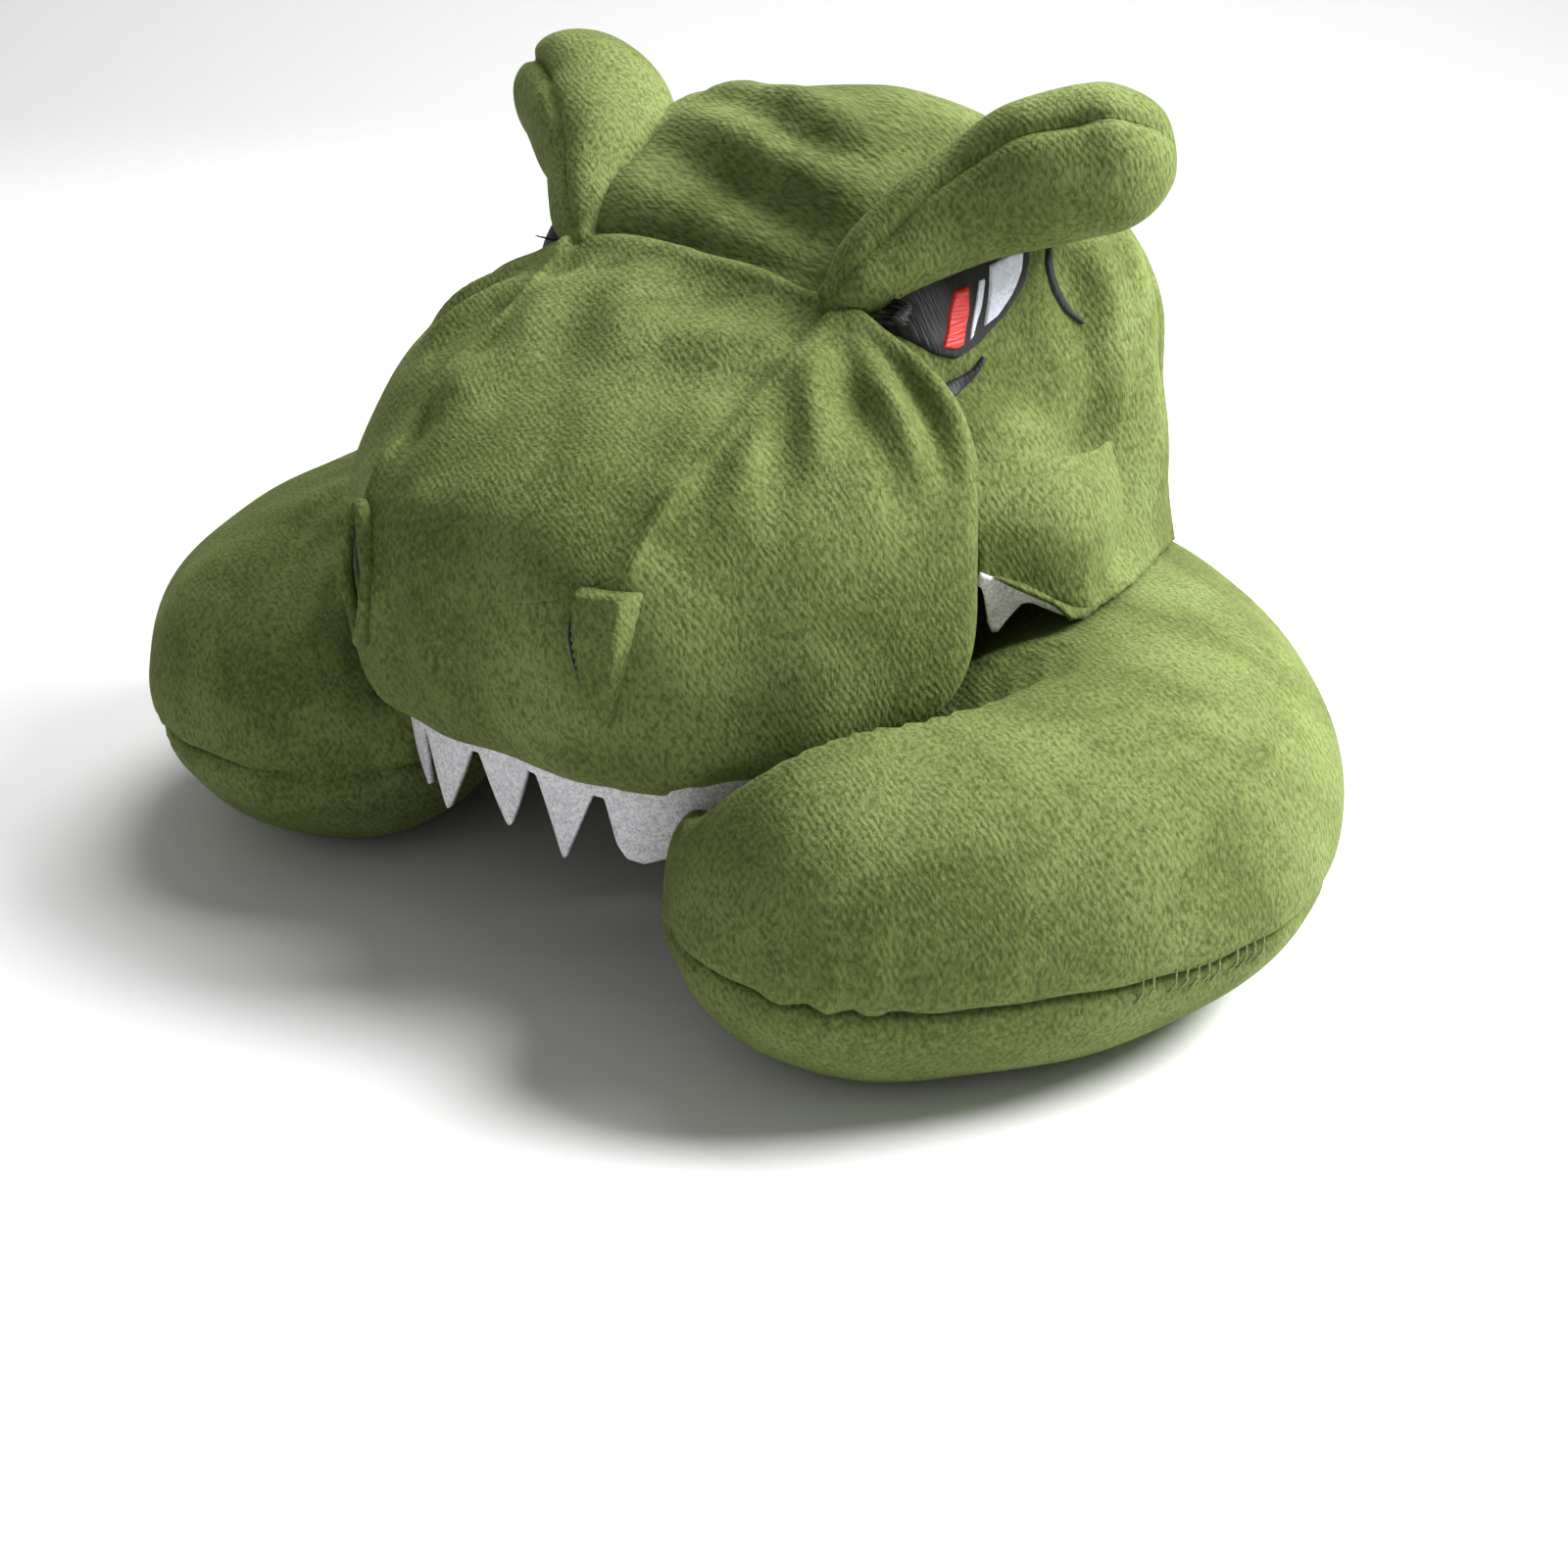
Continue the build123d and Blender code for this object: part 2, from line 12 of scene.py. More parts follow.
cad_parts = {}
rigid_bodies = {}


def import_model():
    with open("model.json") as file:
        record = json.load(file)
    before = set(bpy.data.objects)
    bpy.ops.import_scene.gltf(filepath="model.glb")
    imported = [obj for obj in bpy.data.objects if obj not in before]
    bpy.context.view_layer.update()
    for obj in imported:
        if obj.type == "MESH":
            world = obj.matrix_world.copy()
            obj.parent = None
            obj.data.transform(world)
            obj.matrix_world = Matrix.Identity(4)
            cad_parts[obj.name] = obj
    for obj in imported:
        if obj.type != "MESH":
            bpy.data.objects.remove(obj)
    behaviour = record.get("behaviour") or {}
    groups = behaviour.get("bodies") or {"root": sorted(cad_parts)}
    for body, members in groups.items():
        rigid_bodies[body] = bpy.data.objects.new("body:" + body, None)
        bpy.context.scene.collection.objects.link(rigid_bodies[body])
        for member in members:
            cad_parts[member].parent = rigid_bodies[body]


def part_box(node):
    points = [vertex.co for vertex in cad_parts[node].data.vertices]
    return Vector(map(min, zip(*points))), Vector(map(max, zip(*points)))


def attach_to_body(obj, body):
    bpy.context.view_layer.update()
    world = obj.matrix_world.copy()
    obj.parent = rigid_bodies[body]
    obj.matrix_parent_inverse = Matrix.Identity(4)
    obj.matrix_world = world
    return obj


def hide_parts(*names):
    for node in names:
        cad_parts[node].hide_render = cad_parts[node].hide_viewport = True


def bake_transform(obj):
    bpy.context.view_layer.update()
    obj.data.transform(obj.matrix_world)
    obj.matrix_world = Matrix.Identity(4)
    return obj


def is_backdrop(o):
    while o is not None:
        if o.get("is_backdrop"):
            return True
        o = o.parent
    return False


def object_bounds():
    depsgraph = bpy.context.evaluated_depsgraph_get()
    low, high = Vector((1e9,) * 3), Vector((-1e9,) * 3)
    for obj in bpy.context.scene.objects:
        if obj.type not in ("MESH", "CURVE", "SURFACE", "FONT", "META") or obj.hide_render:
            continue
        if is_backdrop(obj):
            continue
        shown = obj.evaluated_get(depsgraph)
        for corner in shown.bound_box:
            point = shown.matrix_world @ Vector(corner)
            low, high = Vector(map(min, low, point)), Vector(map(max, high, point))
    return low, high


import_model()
cad_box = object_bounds()

bl_info = {
    "name": "Hooded neck pillow",
    "version": (1, 0, 0),
    "blender": (4, 5, 0),
    "location": "3D View > Sidebar > Neck pillow",
    "description": "Sews the plush, lining, felt and thread of a hooded neck pillow",
    "category": "Add Mesh",
}

MM = 0.001
tube_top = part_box("pillow_top_cover")[1].z / MM
TUBE_WIDE, TUBE_TALL = 53.0, 47.0
TUBE_CENTRE = tube_top - TUBE_TALL
PATH_WIDE, PATH_DEEP = 117.0, 83.0
PATH_END = math.radians(125.6)
PATH_Y = -PATH_DEEP * (1 + math.cos(PATH_END)) / 2
CROWN_SEAM = 44.0
BROW_LINE = -20.0
HOOD_BACK_SEAM = 68
MOUTH_WIDE, MOUTH_DEEP, MOUTH_BACK = 56, 62, -22  # the hollow under the snout
DEEPEST_DENT = 21.0  # the cloth is never pressed further than this


# ------------------------------------------------------------------ shapes


def spaced(rows, count):
    """Points or stations along a smooth line through the rows, evenly spaced."""
    rows = np.asarray(rows, float)
    padded = np.vstack([2 * rows[0] - rows[1], rows, 2 * rows[-1] - rows[-2]])
    fine = []
    for i in range(1, len(padded) - 2):
        a, b, c, d = padded[i - 1 : i + 3]
        t = np.linspace(0, 1, 40, endpoint=False)[:, None]
        fine.append(
            0.5 * (2 * b + (c - a) * t + (2 * a - 5 * b + 4 * c - d) * t**2 + (3 * b - a - 3 * c + d) * t**3)
        )
    fine.append(padded[-2][None])
    fine = np.vstack(fine)
    run = np.concatenate([[0], np.cumsum(np.linalg.norm(np.diff(fine, axis=0), axis=1))])
    at = np.linspace(0, run[-1], count)
    return np.stack([np.interp(at, run, fine[:, k]) for k in range(fine.shape[1])], 1)


def grid_normals(grid, around=False):
    """Unit normals of a grid of points, rows by columns. Columns may close round."""
    along = np.gradient(grid, axis=0)
    if around:
        wide = np.concatenate([grid[:, -1:], grid, grid[:, :1]], 1)
        across = (wide[:, 2:] - wide[:, :-2]) / 2
    else:
        across = np.gradient(grid, axis=1)
    n = np.cross(across, along)
    size = np.linalg.norm(n, axis=2, keepdims=True)
    return n / np.maximum(size, 1e-9)


def drift(points, size, seed, waves=18):
    """Soft, seamless unevenness, about -1 to 1, with lumps of the given size in millimetres."""
    draw = np.random.default_rng(seed)
    way = draw.normal(size=(waves, 3))
    way /= np.linalg.norm(way, axis=1, keepdims=True)
    pitch = 2 * math.pi / (size * draw.uniform(1.2, 2.6, waves))
    start = draw.uniform(0, 2 * math.pi, waves)
    return np.sin(points @ (way * pitch[:, None]).T + start).sum(-1) * math.sqrt(2 / waves) * 0.6


def distance_to(points, line, steps=48):
    """Distance from each point to a smooth line, and how far along the line it lies, 0 to 1."""
    line = spaced(line, steps)
    flat = points.reshape(-1, 3)
    best = np.full(len(flat), 1e9)
    share = np.zeros(len(flat))
    for i in range(steps - 1):
        a, d = line[i], line[i + 1] - line[i]
        t = np.clip(((flat - a) @ d) / max(d @ d, 1e-9), 0, 1)
        gap = np.linalg.norm(flat - a - t[:, None] * d, axis=1)
        nearer = gap < best
        best[nearer], share[nearer] = gap[nearer], (i + t[nearer]) / (steps - 1)
    shape = points.shape[:-1]
    return best.reshape(shape), share.reshape(shape)


def fold(points, line, width, depth, ridge=0.5):
    """A crease pressed into cloth along a line, with a soft ridge either side, fading at its ends."""
    gap, share = distance_to(points, line)
    fade = np.clip(4 * share * (1 - share), 0, 1) ** 0.6
    valley = np.exp(-((gap / width) ** 2))
    beside = np.exp(-(((gap - 1.9 * width) / (1.1 * width)) ** 2))
    return fade * depth * (ridge * beside - valley)


def swell(points, centre, size, height):
    """A soft bulge round a point, or a dimple if height is negative."""
    gap = (points - np.array(centre, float)) / np.array(size, float)
    return height * np.exp(-(gap**2).sum(-1))


def groove(gap, depth, width=2.2, puff=0.0, reach=14.0):
    """A sewn seam's profile: a narrow pulled-in line, with the cloth swelling beside it."""
    gap = np.abs(gap)
    return -depth * np.exp(-((gap / width) ** 2)) + puff * (np.exp(-(((gap - reach) / reach) ** 2)))


def path_points(angle):
    """Points of the pillow's centreline and the level outward direction there."""
    centre = np.stack([PATH_WIDE * np.sin(angle), PATH_Y + PATH_DEEP * np.cos(angle)], -1)
    out = np.stack([PATH_DEEP * np.sin(angle), PATH_WIDE * np.cos(angle)], -1)
    return centre, out / np.linalg.norm(out, axis=-1, keepdims=True)


def pillow_top_at(points, stand_off=1.0):
    """Height of the pillow's upper surface under each point, or a very low value beside it."""
    angle = np.linspace(-PATH_END, PATH_END, 361)
    centre, _ = path_points(angle)
    flat = points.reshape(-1, 3)
    away = np.full(len(flat), 1e9)
    for c in centre:
        away = np.minimum(away, np.hypot(flat[:, 0] - c[0], flat[:, 1] - c[1]))
    inside = 1 - (away / (TUBE_WIDE + stand_off)) ** 2
    top = np.where(inside > 0, TUBE_CENTRE + (TUBE_TALL + stand_off) * np.sqrt(np.maximum(inside, 0)), -1e3)
    return top.reshape(points.shape[:-1])


# ------------------------------------------------------------------ meshes


def pressed_by(points):
    """How far the arms' surface reaches into the snout above it, in millimetres, up to the deepest dent."""
    stations = np.array(snout_form)
    across, top, bottom = (np.interp(points[..., 1], stations[:, 0], stations[:, k]) for k in (1, 2, 3))
    share = np.abs(points[..., 0]) / np.maximum(across, 1)
    under = (top + bottom) / 2 - (top - bottom) / 2 * np.maximum(
        1 - np.minimum(share, 1) ** 5.2, 0
    ) ** (1 / 5.2)
    under = np.where((share < 1) & (points[..., 1] > -105) & (points[..., 1] < -19), under, 999.0)
    over = pillow_top_at(points, 0.0) - (under - 1.5)
    return np.clip(over, 0, DEEPEST_DENT)


def head_dent(points):
    """How far the snout's weight presses the arms down, easing off over the next 25 mm of cloth."""
    middle = np.stack([np.sign(points[..., 0]) * 30, np.full(points.shape[:-1], -55.0), points[..., 2]], -1)
    inward = middle - points
    inward /= np.maximum(np.linalg.norm(inward, axis=-1, keepdims=True), 1)
    dent = pressed_by(points)
    for step, share in ((6, 0.85), (12, 0.64), (18, 0.42), (24, 0.2)):
        dent = np.maximum(dent, share * pressed_by(points + step * inward))
    return dent


def add_mesh(name, points, faces, material):
    """One welded mesh object at the origin, from points in millimetres."""
    points = np.asarray(points, float).reshape(-1, 3)
    _, first, back = np.unique(np.round(points, 3), axis=0, return_index=True, return_inverse=True)
    back = back.reshape(-1)
    corners = []
    for face in faces:
        ring = []
        for corner in back[list(face)]:
            if corner not in ring:
                ring.append(corner)
        if len(ring) > 2:
            corners.append(ring)
    used = np.unique(np.concatenate([np.array(c) for c in corners]))
    place = np.zeros(len(first), int)
    place[used] = np.arange(len(used))
    mesh = bpy.data.meshes.new(name)
    mesh.from_pydata((points[first[used]] * MM).tolist(), [], [place[c].tolist() for c in corners])
    mesh.update()
    mesh.polygons.foreach_set("use_smooth", [True] * len(mesh.polygons))
    made = bpy.data.objects.new(name, mesh)
    bpy.context.scene.collection.objects.link(made)
    mesh.materials.append(material)
    return made


def grid_faces(rows, columns, around=False, keep=None):
    """Quads of a grid, as corner indices. keep(row, column) picks the ones to make."""
    last = columns if around else columns - 1
    i, j = np.meshgrid(np.arange(rows - 1), np.arange(last), indexing="ij")
    i, j = i.ravel(), j.ravel()
    if keep is not None:
        chosen = keep[i, j]
        i, j = i[chosen], j[chosen]
    k = (j + 1) % columns
    return np.stack([i * columns + j, i * columns + k, (i + 1) * columns + k, (i + 1) * columns + j], 1)


def solid(made, thickness):
    """Gives a sheet its cloth thickness, with its rim closed."""
    shell = made.modifiers.new("Cloth thickness", "SOLIDIFY")
    shell.thickness = thickness * MM
    shell.offset = -1.0
    shell.use_even_offset = False


# ------------------------------------------------------------------ cloth forms


def pillow_skin(side):
    """Half of the pillow's skin as a grid: rows run from the back to the arm's tip, columns round it.

    The first columns run over the top from the outer seam to the inner one, the rest run underneath.
    """
    walk = np.linspace(0, PATH_END, 112)
    cap = np.sin(np.linspace(0, math.pi / 2, 30)[1:])
    centre, out = path_points(walk)
    ahead = np.array([out[-1][1], -out[-1][0]])
    centre = np.vstack([centre, centre[-1] + np.outer(cap, ahead) * TUBE_WIDE * 0.97])
    out = np.vstack([out, np.repeat(out[-1:], len(cap), 0)])
    slim = 1 - 0.05 * np.clip((walk - 1.2) / (PATH_END - 1.2), 0, 1) ** 2
    size = np.concatenate([slim, slim[-1] * np.sqrt(np.maximum(1 - cap**2, 0))])
    middle = np.full(len(size), TUBE_CENTRE) - 9 * (1 - size) ** 1.5
    seam = math.radians(-13.5)
    round_top = np.linspace(seam, math.pi - seam, 100)
    round_under = np.linspace(math.pi - seam, 2 * math.pi + seam, 60)[1:-1]
    turn = np.concatenate([round_top, round_under])
    u = size[:, None] * TUBE_WIDE * np.cos(turn)
    v = size[:, None] * TUBE_TALL * np.sin(turn)
    grid = np.stack([centre[:, :1] + out[:, :1] * u, centre[:, 1:] + out[:, 1:] * u, middle[:, None] + v], 2)
    run = np.cumsum(np.concatenate([[0], np.linalg.norm(np.diff(centre, axis=0), axis=1)]))[:, None]
    gap = np.minimum(np.abs(turn - seam), np.abs(turn - math.pi + seam))
    gap = np.minimum(gap, np.abs(turn - 2 * math.pi - seam)) * 50 * np.maximum(size[:, None], 0.05)
    tuck = drift(np.concatenate([grid * [1, 1, 0]], 0), 11, 3)
    push = groove(gap, 1.9, 2.0, 0.5, 9)
    push += 0.8 * tuck * np.exp(-gap / 13) * (0.45 + 0.55 * np.clip(drift(grid, 90, 9) + 0.3, 0, 1))
    closing = np.exp(-(((run - 228) / 22) ** 2))
    push += 1.3 * closing * np.sin(run / 1.9 + np.sin(run / 9)) * np.exp(-gap / 12) * (1 if side > 0 else 0.3)
    push += 1.6 * drift(grid, 70, 21 + side) + 0.5 * drift(grid, 22, 31 + side)
    push *= np.minimum(1, 4 * size[:, None]) * np.clip(run / 25, 0, 1)
    normal = grid_normals(grid, around=True)
    if np.mean((normal * (grid - grid.mean(1, keepdims=True))).sum(2)) < 0:
        normal = -normal
    grid = grid + normal * push[..., None]
    grid[..., 2] -= head_dent(grid) * np.clip((grid[..., 2] - 42) / 22, 0, 1)
    grid[..., 2] = 0.5 * (grid[..., 2] + np.sqrt(grid[..., 2] ** 2 + 5))
    grid[..., 2] -= grid[..., 2].min()
    grid[..., 0] *= side
    return grid, len(round_top)


def oval(across, top, bottom, seam_x, over=2.4, under=5.2, top_columns=100, columns=330):
    """A closed rounded-square section, its first columns between the two long seams on top."""
    turn = np.linspace(0, 2 * math.pi, 1441)
    c, s = np.cos(turn), np.sin(turn)
    power = np.where(s > 0, over, under)
    x = np.sign(c) * np.abs(c) ** (2 / power) * across
    z = (top + bottom) / 2 + np.sign(s) * np.abs(s) ** (2 / power) * (top - bottom) / 2
    first = np.argmax(x[: len(x) // 2] < seam_x)
    last = len(x) // 2 - first
    run = np.concatenate([[0], np.cumsum(np.hypot(np.diff(x), np.diff(z)))])
    ring = run[-1]
    a, b = run[first], run[last]
    at = np.concatenate(
        [
            np.linspace(a, b, top_columns, endpoint=False),
            np.linspace(b, ring + a, columns - top_columns, endpoint=False)
        ]
    )
    at %= ring
    return np.stack([np.interp(at, run, x), np.interp(at, run, z)], 1)


snout_form = [
    (-107.3, 1.0, 98.0, 96.0),
    (-106.6, 20.0, 107.0, 84.0),
    (-104.5, 36.0, 114.0, 69.0),
    (-99.5, 50.0, 122.0, 60.0),
    (-91.0, 60.0, 129.0, 57.0),
    (-77.0, 71.0, 138.0, 56.5),
    (-62.0, 81.0, 146.5, 56.5),
    (-46.0, 90.0, 154.5, 59.0),
    (-32.0, 94.5, 161.0, 63.0),
    (-23.0, 91.0, 165.5, 69.0),
    (-18.5, 84.0, 163.5, 76.0),
    (-17.0, 70.0, 159.0, 88.0),
]

snout_creases = [
    # (points on the surface, half width, depth)
    ([(-30, -104, 100), (-34, -105, 84), (-30, -104, 68)], 4.5, 2.2),
    ([(-14, -106, 100), (-14, -106, 84), (-6, -104, 70)], 5.0, 1.8),
    ([(8, -106, 92), (12, -106, 78), (20, -103, 66)], 5.0, 1.6),
    ([(40, -100, 66), (30, -102, 65), (18, -104, 66)], 3.0, 2.0),
    ([(44, -24, 163), (52, -40, 152), (62, -52, 134), (66, -58, 112)], 4.5, 3.6),
    ([(48, -22, 163), (62, -32, 156), (76, -36, 142), (86, -40, 122)], 4.0, 3.4),
    ([(50, -19, 163), (66, -22, 158), (80, -24, 146), (90, -28, 128)], 3.2, 2.6),
    ([(44, -36, 157), (52, -60, 144), (56, -78, 124)], 5.0, 2.2),
    ([(-44, -24, 163), (-56, -40, 152), (-66, -54, 134)], 5.0, 3.2),
    ([(-48, -22, 163), (-66, -32, 154), (-80, -38, 138)], 4.5, 3.0),
    ([(-40, -34, 158), (-30, -56, 149), (-34, -76, 138)], 8.0, 2.2),
    ([(-20, -30, 162), (-8, -46, 156), (6, -56, 151)], 9.0, 2.0),
    ([(42, -30, 162), (26, -42, 157), (10, -46, 155)], 7.0, 2.0),
    ([(-44, -62, 142), (-30, -82, 131), (-32, -96, 118)], 7.0, 1.8),
]


def snout_skin():
    """The snout's plush as a closed grid: rows from the nose to the brow line, columns round it."""
    rows = spaced(snout_form, 130)
    rows[:, 1] = np.maximum(rows[:, 1], 0.4)
    grid, seams = [], []
    for y, across, top, bottom in rows:
        seam_x = min(CROWN_SEAM, 0.8 * across)
        section = oval(across, max(top, bottom + 0.5), bottom, seam_x)
        grid.append(np.stack([section[:, 0], np.full(len(section), y), section[:, 1]], 1))
        seams.append(seam_x)
    grid = np.array(grid)
    normal = grid_normals(grid, around=True)
    seams = np.array(seams)[:, None]
    upper = np.clip((grid[..., 2] - 100) / 12, 0, 1)
    gap = np.abs(np.abs(grid[..., 0]) - seams)
    early = np.clip((grid[..., 1] + 101) / 12, 0, 1) * np.clip((-19 - grid[..., 1]) / 6, 0, 1)
    push = groove(gap, 1.7, 1.8, 0.9, 9) * upper * early
    push += 1.3 * np.exp(-gap / 9) * drift(grid, 10, 41) * upper * early
    brow_gap = np.abs(grid[..., 1] - BROW_LINE)
    push += groove(brow_gap, 2.2, 3.4, 0.8, 9) * (grid[..., 2] > 130)
    for line, width, depth in snout_creases:
        push += fold(grid, line, width, depth)
    push += swell(grid, (80, -34, 112), (22, 20, 30), 3.0) + swell(grid, (-80, -34, 112), (22, 20, 30), 3.0)
    push += swell(grid, (0, -70, 142), (34, 26, 20), 2.2) + swell(grid, (0, -106, 96), (20, 12, 18), -0.8)
    push += 1.5 * drift(grid, 48, 51) + 0.7 * drift(grid, 20, 52)
    lip = np.exp(-(((grid[..., 2] - 62) / 6) ** 2))
    push += 0.9 * lip * drift(grid * [1, 1, 0], 9, 53)
    push *= np.clip(rows[:, 1:2] / 14, 0, 1)
    grid = grid + normal * push[..., None]
    grid[..., 2] = np.maximum(grid[..., 2], pillow_top_at(grid, 1.2) - head_dent(grid))
    grid[0] = grid[0].mean(0)
    return grid, rows


hood_form = [
    # y, top, shoulder, half width at the shoulder, half width at the skirt
    (-25.0, 161.5, 134.0, 60.0, 90.0),
    (-19.0, 166.5, 136.0, 62.5, 92.0),
    (-8.0, 177.0, 143.0, 64.0, 98.0),
    (5.0, 188.5, 150.0, 66.0, 101.0),
    (27.0, 198.5, 152.0, 70.0, 99.0),
    (52.0, 191.5, 145.0, 76.0, 90.0),
    (72.0, 176.0, 130.0, 73.0, 80.0),
    (86.0, 157.0, 115.0, 60.0, 66.0),
    (95.0, 136.0, 102.0, 42.0, 46.0),
    (99.0, 116.0, 94.0, 24.0, 27.0),
    (100.0, 98.0, 88.0, 8.0, 9.0),
]

hood_creases = [
    ([(-44, 2, 184), (-16, -2, 182), (14, -8, 177), (40, -14, 171)], 6.5, 3.0),
    ([(-42, 20, 195), (-18, 16, 194), (8, 8, 190), (34, 4, 187)], 5.0, 2.0),
    ([(-30, 32, 198), (0, 28, 199), (24, 20, 196)], 5.5, 1.6),
    ([(60, -14, 146), (70, 0, 142), (74, 14, 141)], 4.0, 2.0),
    ([(78, -18, 132), (84, 2, 128), (88, 18, 124), (86, 30, 124)], 4.5, 4.2),
    ([(84, -12, 122), (90, 4, 116), (92, 16, 106)], 5.0, 4.6),
    ([(70, 32, 168), (78, 34, 150), (84, 32, 128)], 5.0, 3.2),
    ([(74, 48, 172), (82, 50, 150), (86, 46, 122)], 4.5, 2.4),
    ([(-60, -14, 146), (-72, 0, 140), (-78, 16, 134)], 5.0, 2.6),
    ([(-74, 30, 166), (-82, 34, 146), (-86, 30, 120)], 5.0, 3.0),
    ([(-30, 88, 154), (0, 92, 148), (30, 88, 154)], 6.0, 2.2),
    ([(-36, 94, 126), (0, 99, 118), (36, 94, 126)], 6.0, 2.4),
]


def hood_skin(inset=0.0, rows_wanted=104):
    """The hood's plush as an open grid: rows run from the brow line to the back of the neck.

    Columns run from the right skirt up the side, over the crown and down to the left skirt.
    """
    rows = spaced(hood_form, rows_wanted)
    side_columns, top_columns = 96, 90
    grid = []
    for y, top, shoulder, across, skirt in rows:
        top, shoulder, across, skirt = top - inset, shoulder, max(across - inset, 1.0), max(skirt - inset, 1.2)
        turn = np.linspace(0, math.pi, 721)
        x = np.sign(np.cos(turn)) * np.abs(np.cos(turn)) ** (2 / 2.8) * across
        z = shoulder + np.sin(turn) ** (2 / 2.8) * max(top - shoulder, 1.0)
        drop = np.arange(shoulder, 70, -0.5)
        flare = across + (skirt - across) * ((shoulder - drop) / max(shoulder - 92, 4.0)) ** 1.25
        here = np.stack([flare, np.full(len(drop), y), drop], 1)
        floor_z = pillow_top_at(here, 1.0 + 0.3 * inset)
        floor_z = np.maximum(floor_z, 93 + 0.62 * max(0.0, -y - 2) if y < -2 else 60)
        stop = np.argmax(drop <= floor_z) if np.any(drop <= floor_z) else len(drop) - 1
        stop = max(stop, 1)
        leg = np.stack([flare[: stop + 1], drop[: stop + 1]], 1)
        right = leg[::-1]
        arch = np.stack([x, z], 1)
        left = leg * [-1, 1]
        line = np.vstack([right, arch[1:-1], left])
        run = np.concatenate([[0], np.cumsum(np.hypot(*np.diff(line, axis=0).T))])
        seam_x = min(CROWN_SEAM, 0.75 * across)
        start = len(right) - 1 + np.argmax(x < seam_x)
        a = run[start]
        b = run[-1] - a
        at = np.concatenate(
            [
                np.linspace(0, a, side_columns, endpoint=False), np.linspace(a, b, top_columns, endpoint=False),
                np.linspace(b, run[-1], side_columns)
            ]
        )
        grid.append(
            np.stack([np.interp(at, run, line[:, 0]), np.full(len(at), y), np.interp(at, run, line[:, 1])], 1)
        )
    grid = np.array(grid)
    normal = -grid_normals(grid)
    centre = grid.mean((0, 1))
    if np.mean((normal * (grid - centre)).sum(2)) < 0:
        normal = -normal
    gap = np.abs(np.abs(grid[..., 0]) - CROWN_SEAM)
    upper = np.clip((grid[..., 2] - 150) / 10, 0, 1) * (grid[..., 1] < 78)
    push = groove(gap, 2.0, 2.0, 0.8, 9) * upper
    push += groove(np.abs(grid[..., 1] - HOOD_BACK_SEAM), 1.8, 2.0, 0.7, 9)
    push += groove(np.abs(grid[..., 1] - BROW_LINE), 2.2, 3.4, 0.8, 9) * (grid[..., 2] > 140)
    for line, width, depth in hood_creases:
        push += fold(grid, line, width, depth)
    push += swell(grid, (88, 28, 125), (11, 10, 10), -5.0) + swell(grid, (86, 52, 124), (14, 12, 24), 5.0)
    push += swell(grid, (92, 4, 110), (12, 10, 8), 3.5)
    push += 1.6 * drift(grid, 45, 61) + 0.7 * drift(grid, 19, 62)
    push *= np.clip((grid[..., 1] + 25) / 8, 0.2, 1)
    return grid + normal * push[..., None], rows, (side_columns, top_columns)


brow_form = [
    # x, y, z, radius
    (41.5, -21.0, 163.0, 3.4),
    (46.0, -13.5, 168.0, 8.6),
    (54.0, 2.0, 179.5, 12.9),
    (64.5, 13.5, 187.0, 16.4),
    (74.5, 21.0, 191.5, 17.8),
    (83.5, 27.0, 193.5, 17.6),
]


def roll_skin(form, side, lean=0.0):
    """A stuffed roll as a grid of rings from its thin base to its domed tip."""
    rows = spaced(form, 84)
    centre, radius = rows[:, :3].copy(), rows[:, 3].copy()
    if side < 0:
        # the right roll flops outwards and is a little fuller
        along = np.linspace(0, 1, len(rows))
        centre += np.outer(along**1.3, [6.0, 0.0, -9.0])
        radius *= 1 + 0.22 * np.sin(math.pi * along)
    ahead = centre[-1] - centre[-4]
    ahead /= np.linalg.norm(ahead)
    cap = np.sin(np.linspace(0, math.pi / 2, 30)[1:])
    base = np.sin(np.linspace(-math.pi / 2, 0, 8)[:-1])
    back = centre[1] - centre[0]
    back /= np.linalg.norm(back)
    centre = np.vstack(
        [centre[0] + np.outer(base, back) * radius[0], centre, centre[-1] + np.outer(cap, ahead) * radius[-1]]
    )
    radius = np.concatenate(
        [radius[0] * np.sqrt(1 - base**2), radius, radius[-1] * np.sqrt(np.maximum(1 - cap**2, 0))]
    )
    tangent = np.gradient(centre, axis=0)
    tangent /= np.linalg.norm(tangent, axis=1, keepdims=True)
    upward = np.array([-0.35, 0.25, 0.9])
    across = np.cross(tangent, upward)
    across /= np.linalg.norm(across, axis=1, keepdims=True)
    upward = np.cross(across, tangent)
    turn = np.linspace(0, 2 * math.pi, 180, endpoint=False) + lean
    ring = across[:, None] * np.cos(turn)[None, :, None] + upward[:, None] * np.sin(turn)[None, :, None]
    grid = centre[:, None] + ring * radius[:, None, None]
    gap = np.minimum(np.abs(turn - lean), 2 * math.pi + lean - turn)[None] * radius[:, None]
    half = np.abs(turn - lean - math.pi)[None] * radius[:, None]
    push = groove(gap, 1.6, 1.7, 0.9, 7) + groove(half, 1.6, 1.7, 0.9, 7)
    push += 0.8 * np.exp(-np.minimum(gap, half) / 6) * drift(grid, 9, 71 + side)
    push += 1.0 * drift(grid, 34, 73 + side) + 0.4 * drift(grid, 14, 75 + side)
    push *= np.clip(radius / 8, 0, 1)[:, None]
    grid = grid + ring * push[..., None]
    grid[..., 0] *= side
    return grid


# ------------------------------------------------------------------ finishes


